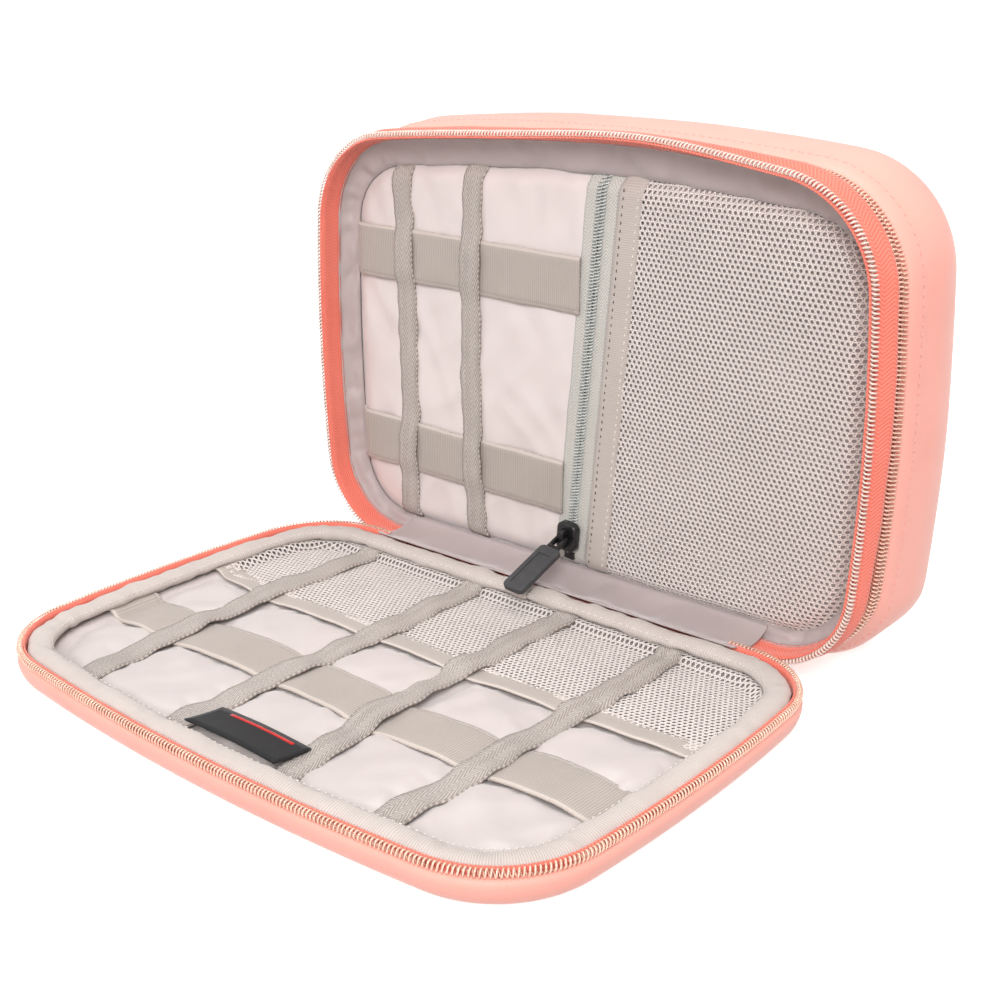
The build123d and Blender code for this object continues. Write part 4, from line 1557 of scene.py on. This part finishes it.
# ------------------------------------------------------------------------------ rear cover and hinges
@dataclass
class RearCover:
    """The deep rear cover: its half of the zipper, seam, coated shell and lining."""

    palette: Palette
    seam: float = 20.3
    back: float = 64.0
    edge: float = 18.0

    def soft(self, spot: Spot, level: int, inset: float, depth: float) -> tuple[float, float]:
        """Broad soft dents, none where the cover stands on the ground."""
        up = ease((spot.out_up + 0.75) / 0.5)
        dent = ripple(spot.run, depth * 1.5, 0.0, 55.0) * up
        puff = 1.8 * hump(depth, 42.0, 16.0) * up
        standing = max(0.0, -inset) * (1 - up)
        return inset + 0.9 * dent - puff + standing, depth

    def _profile(self, wall: float) -> list[Row]:
        """Rows from the seam round to the middle of the back, moved in by a wall."""
        rows = [Row(2.6 + wall * 0.3, self.seam - 1.5), Row(1.2 + wall, self.seam - 0.6, 0.02),
                Row(0.1 + wall, self.seam + 0.6, 0.1), Row(-0.6 + wall, self.seam + 2.4, 0.25),
                Row(-0.9 + wall, self.seam + 5.2, 0.55), Row(-0.8 + wall, self.seam + 8.0, 0.82),
                Row(-0.9 + wall, 32.0, 1.0), Row(-1.2 + wall, 38.0, 1.0), Row(-0.9 + wall, 44.0, 1.0)]
        for number in range(1, 8):
            angle = math.pi / 2 * number / 7
            reach = self.edge - wall
            rows.append(Row(self.edge - reach * math.cos(angle) - 0.6 * math.cos(angle),
                            self.back - self.edge + reach * math.sin(angle), 1.0))
        for shrink in (0.86, 0.7, 0.5, 0.3, 0.12, 0.0):
            rows.append(Row(self.edge, self.back - wall + 0.8 * (1 - shrink), 1.0, shrink))
        return rows

    def build(self) -> None:
        """Make the cover's pieces."""
        body = "rear_cover"
        shell = Sweep(smoothed(self._profile(0.0)), bend=self.soft, step=2.0).piece(
            "cover_shell", self.palette.shell, 1.6, 0, -1.0)
        attach(shell, body, "shell_fabric", "rear_cover_shell", "rear_cover_foam")
        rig.padded(shell, fill=0.5)
        lining = Sweep(self._profile(4.2), step=4.0).piece("cover_lining", self.palette.satin, 0.5)
        attach(lining, body, "satin_lining", "rear_cover_lining")
        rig.sheet(lining, flat=(0.32, 0.25), held="stretched", rests_on=["cover_shell"],
                 area=0.32 * 0.25 * 0.8)
        coil = Coil().round_loop("cover_coil", self.palette.rose_coil, Stance.STANDING, 0.3, 18.5, 0.95, 1.4,
                                 0.5, sunk_at_top)
        attach(coil, body, "zipper_coil", "rear_zipper_cover_coil")
        rows = [Row(2.4, 17.4), Row(2.5, 20.0), Row(2.9, 22.6)]
        tape = Sweep(rows, span=LOOP.zip_span).piece("cover_tape", self.palette.tape, 0.4)
        attach(tape, body, "zipper_tape", "rear_zipper_cover_tape")
        start, end = LOOP.zip_span

        def seam(run: float) -> Vector:
            """The stitch line behind the seam."""
            share = SEAM_FLARE
            spot = LOOP.spot(start + run)
            far = GROUND_LOOP.spot((start + run) * GROUND_LOOP.length / LOOP.length)
            inset, depth = self.soft(spot, 0, -0.95, self.seam + 6.0)
            near_x, near_up = spot.inset(inset)
            far_x, far_up = far.inset(inset)
            x, height = near_x + (far_x - near_x) * share, near_up + (far_up - near_up) * share
            return Stance.STANDING.place(x, depth, height)

        stitches = Stitching(1.9, 3.0, 0.16).piece("cover_stitches", self.palette.shell, end - start, seam)
        attach(stitches, body, "shell_fabric")


@dataclass
class ClothHinges:
    """The cloth that joins the lid and the cover to the body along the bottom."""

    palette: Palette
    half: float = 82.0
    columns: int = 96

    def _strip(self, name: str, material: Material, rows: Sequence[tuple[float, float]], wall: float,
               folds: float = 0.35) -> Object:
        """A strip across the bottom through points of depth and height."""
        widths = [0.0]
        for before, after in zip(rows, rows[1:]):
            widths.append(widths[-1] + math.dist(before, after))

        def place(column: int, level: int) -> Vector:
            """Position of one point, with small folds across the strip."""
            x = self.half * (2 * column / self.columns - 1)
            inner = 0 < level < len(rows) - 1
            fold = folds * ripple(x, level * 1.5, 0.0, 10.0) if inner else 0.0
            return Stance.STANDING.place(x, rows[level][0], rows[level][1] + fold)

        mesh = woven(self.columns, len(rows) - 1, place,
                     lambda column, level: (self.half * (2 * column / self.columns - 1), widths[level]))
        return finished(name, mesh, material, wall, 1)

    def build(self) -> None:
        """Make the strips and let them bend between the bodies that they join."""
        inner = [(13.4, 14.6), (11.6, 12.8), (8.8, 11.7), (5.8, 11.1), (2.6, 10.8),
                 (-0.5, 11.0), (-2.8, 11.7), (-4.8, 12.6), (-6.6, 13.4), (-8.4, 13.9)]
        # The hinge strip takes the darker satin with its painted shade.
        strip = self._strip("front_hinge_satin", self.palette.collar, inner, 0.5, 1.4)
        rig.blend(strip, "pouch_body", "front_lid", start=Stance.STANDING.place(0, 1.0, 9.0),
                 end=Stance.STANDING.place(0, -4.5, 9.0))
        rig.slot(strip, "satin_lining")
        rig.sheet(strip, flat=(2 * self.half * MM, 0.0235), held="stretched", rests_on=["gusset_gathers"])
        outer = [(5.0, 6.9), (3.0, 6.5), (1.0, 6.3), (-1.0, 6.3), (-2.6, 6.6), (-3.7, 7.6)]
        cover = self._strip("front_hinge_cloth", self.palette.seam, outer, 0.7)
        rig.blend(cover, "pouch_body", "front_lid", start=Stance.STANDING.place(0, 1.0, 7.0),
                 end=Stance.STANDING.place(0, -3.2, 7.0))
        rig.slot(cover, "shell_fabric")
        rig.replaces(cover, "front_hinge_strip")
        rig.sheet(cover, flat=(2 * self.half * MM, 0.0115), held="stretched", rests_on=["gusset_band"],
                 area=2 * self.half * MM * 0.0095)
        rear = [(12.0, 7.6), (14.0, 7.2), (16.0, 7.0), (18.0, 7.0), (20.0, 6.9), (21.5, 6.7)]
        back = self._strip("rear_hinge_cloth", self.palette.seam, rear, 0.7)
        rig.blend(back, "pouch_body", "rear_cover", start=Stance.STANDING.place(0, 15.0, 7.0),
                 end=Stance.STANDING.place(0, 19.5, 7.0))
        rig.slot(back, "shell_fabric")
        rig.replaces(back, "rear_hinge_strip")
        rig.sheet(back, flat=(2 * self.half * MM, 0.0115), held="stretched", rests_on=["gusset_band"],
                 area=2 * self.half * MM * 0.0097)


@dataclass
class Hardware:
    """Sliders, pulls, stops and the hidden board, which keep their CAD shapes."""

    palette: Palette

    def build(self) -> None:
        """Give each carried-over CAD node its finish."""
        finishes = {"board": self.palette.board, "end_stop": self.palette.metal,
                    "pull_tab": self.palette.rubber, "slider": self.palette.metal,
                    "pull_eye": self.palette.metal}
        for name, node in frame["nodes"].items():
            if node.hide_render:
                continue
            found = [material for part, material in finishes.items() if part in name]
            material = found[0] if found else self.palette.foam
            if name in ("pocket_slider", "pocket_pull_eye", "pocket_zipper_end_stop"):
                material = self.palette.black_metal
            node.data.materials.clear()
            node.data.materials.append(material)
            LOG.info("%s keeps its shape, in %s", name, material.name)


@dataclass
class Studio:
    """Pale floor, soft lights and the camera."""

    azimuth: float = math.radians(40.566)
    elevation: float = math.radians(19.927)
    distance: float = 0.5509
    target: tuple[float, float, float] = (-0.02639, -0.03731, 0.03745)
    roll: float = math.radians(-0.279)
    lens: float = 53.6
    paper_half: float = 20.0
    paper_drop: float = 0.0002
    daylight: float = 0.60
    lights: tuple[tuple, ...] = (("key", (0.8, -1.3, 1.0), 0.7, 25.0), ("fill", (-1.3, -0.9, 0.9), 1.0, 5.0),
                                 ("top", (0.1, 0.2, 1.6), 0.8, 12.0))

    def _area(self, name: str, place: tuple, size: float, power: float) -> None:
        """A square soft light that looks at the pouch."""
        data = bpy.data.lights.new(name, "AREA")
        data.size = size
        data.energy = power
        light = bpy.data.objects.new(name, data)
        light.location = place
        light.rotation_euler = (Vector(self.target) - Vector(place)).to_track_quat("-Z", "Y").to_euler()
        bpy.context.scene.collection.objects.link(light)

    def build(self) -> None:
        """Make the floor, lights, world and camera."""
        mesh = bmesh.new()
        bmesh.ops.create_grid(mesh, x_segments=2, y_segments=2, size=self.paper_half)
        bmesh.ops.translate(mesh, verts=mesh.verts, vec=Vector((0, 0, -self.paper_drop)))
        paper = Moulded("pale_paper", (0.88, 0.87, 0.865), (0.90, 0.89, 0.885), 0.9, relief=0.01, glow=0.62)
        floor = finished("pale_floor", mesh, paper.material())
        floor.visible_diffuse = False
        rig.stage(floor)
        world = bpy.data.worlds.new("studio")
        world.use_nodes = True
        sky = world.node_tree.nodes["Background"]
        sky.inputs["Color"].default_value = (1.0, 0.99, 0.985, 1.0)
        sky.inputs["Strength"].default_value = self.daylight
        bpy.context.scene.world = world
        for light in self.lights:
            self._area(*light)
        data = bpy.data.cameras.new("camera")
        data.lens = self.lens
        data.sensor_width = 36.0
        data.clip_start = 0.01
        camera = bpy.data.objects.new("camera", data)
        flat = math.cos(self.elevation)
        way = Vector((math.sin(self.azimuth) * flat, -math.cos(self.azimuth) * flat,
                      math.sin(self.elevation)))
        camera.location = Vector(self.target) + way * self.distance
        turn = way.to_track_quat("Z", "Y") @ Matrix.Rotation(self.roll, 3, "Z").to_quaternion()
        camera.rotation_euler = turn.to_euler()
        bpy.context.scene.collection.objects.link(camera)
        bpy.context.scene.camera = camera
        bpy.context.scene.view_settings.view_transform = "Standard"


def main() -> None:
    """Build the pouch's pieces in order and write the two boxes."""
    logging.basicConfig(level=logging.INFO, format="%(asctime)s %(message)s")
    palette = Palette()
    for part in (Gusset, Partition, FrontLid, RearCover, ClothHinges, Hardware):
        part(palette).build()
    Studio().build()
    with open(SIZE_FILE, "w") as file:
        json.dump({"cad": CAD_BOX, "visual": [list(corner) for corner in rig.bounds()]}, file)


if __name__ == "__main__":
    main()
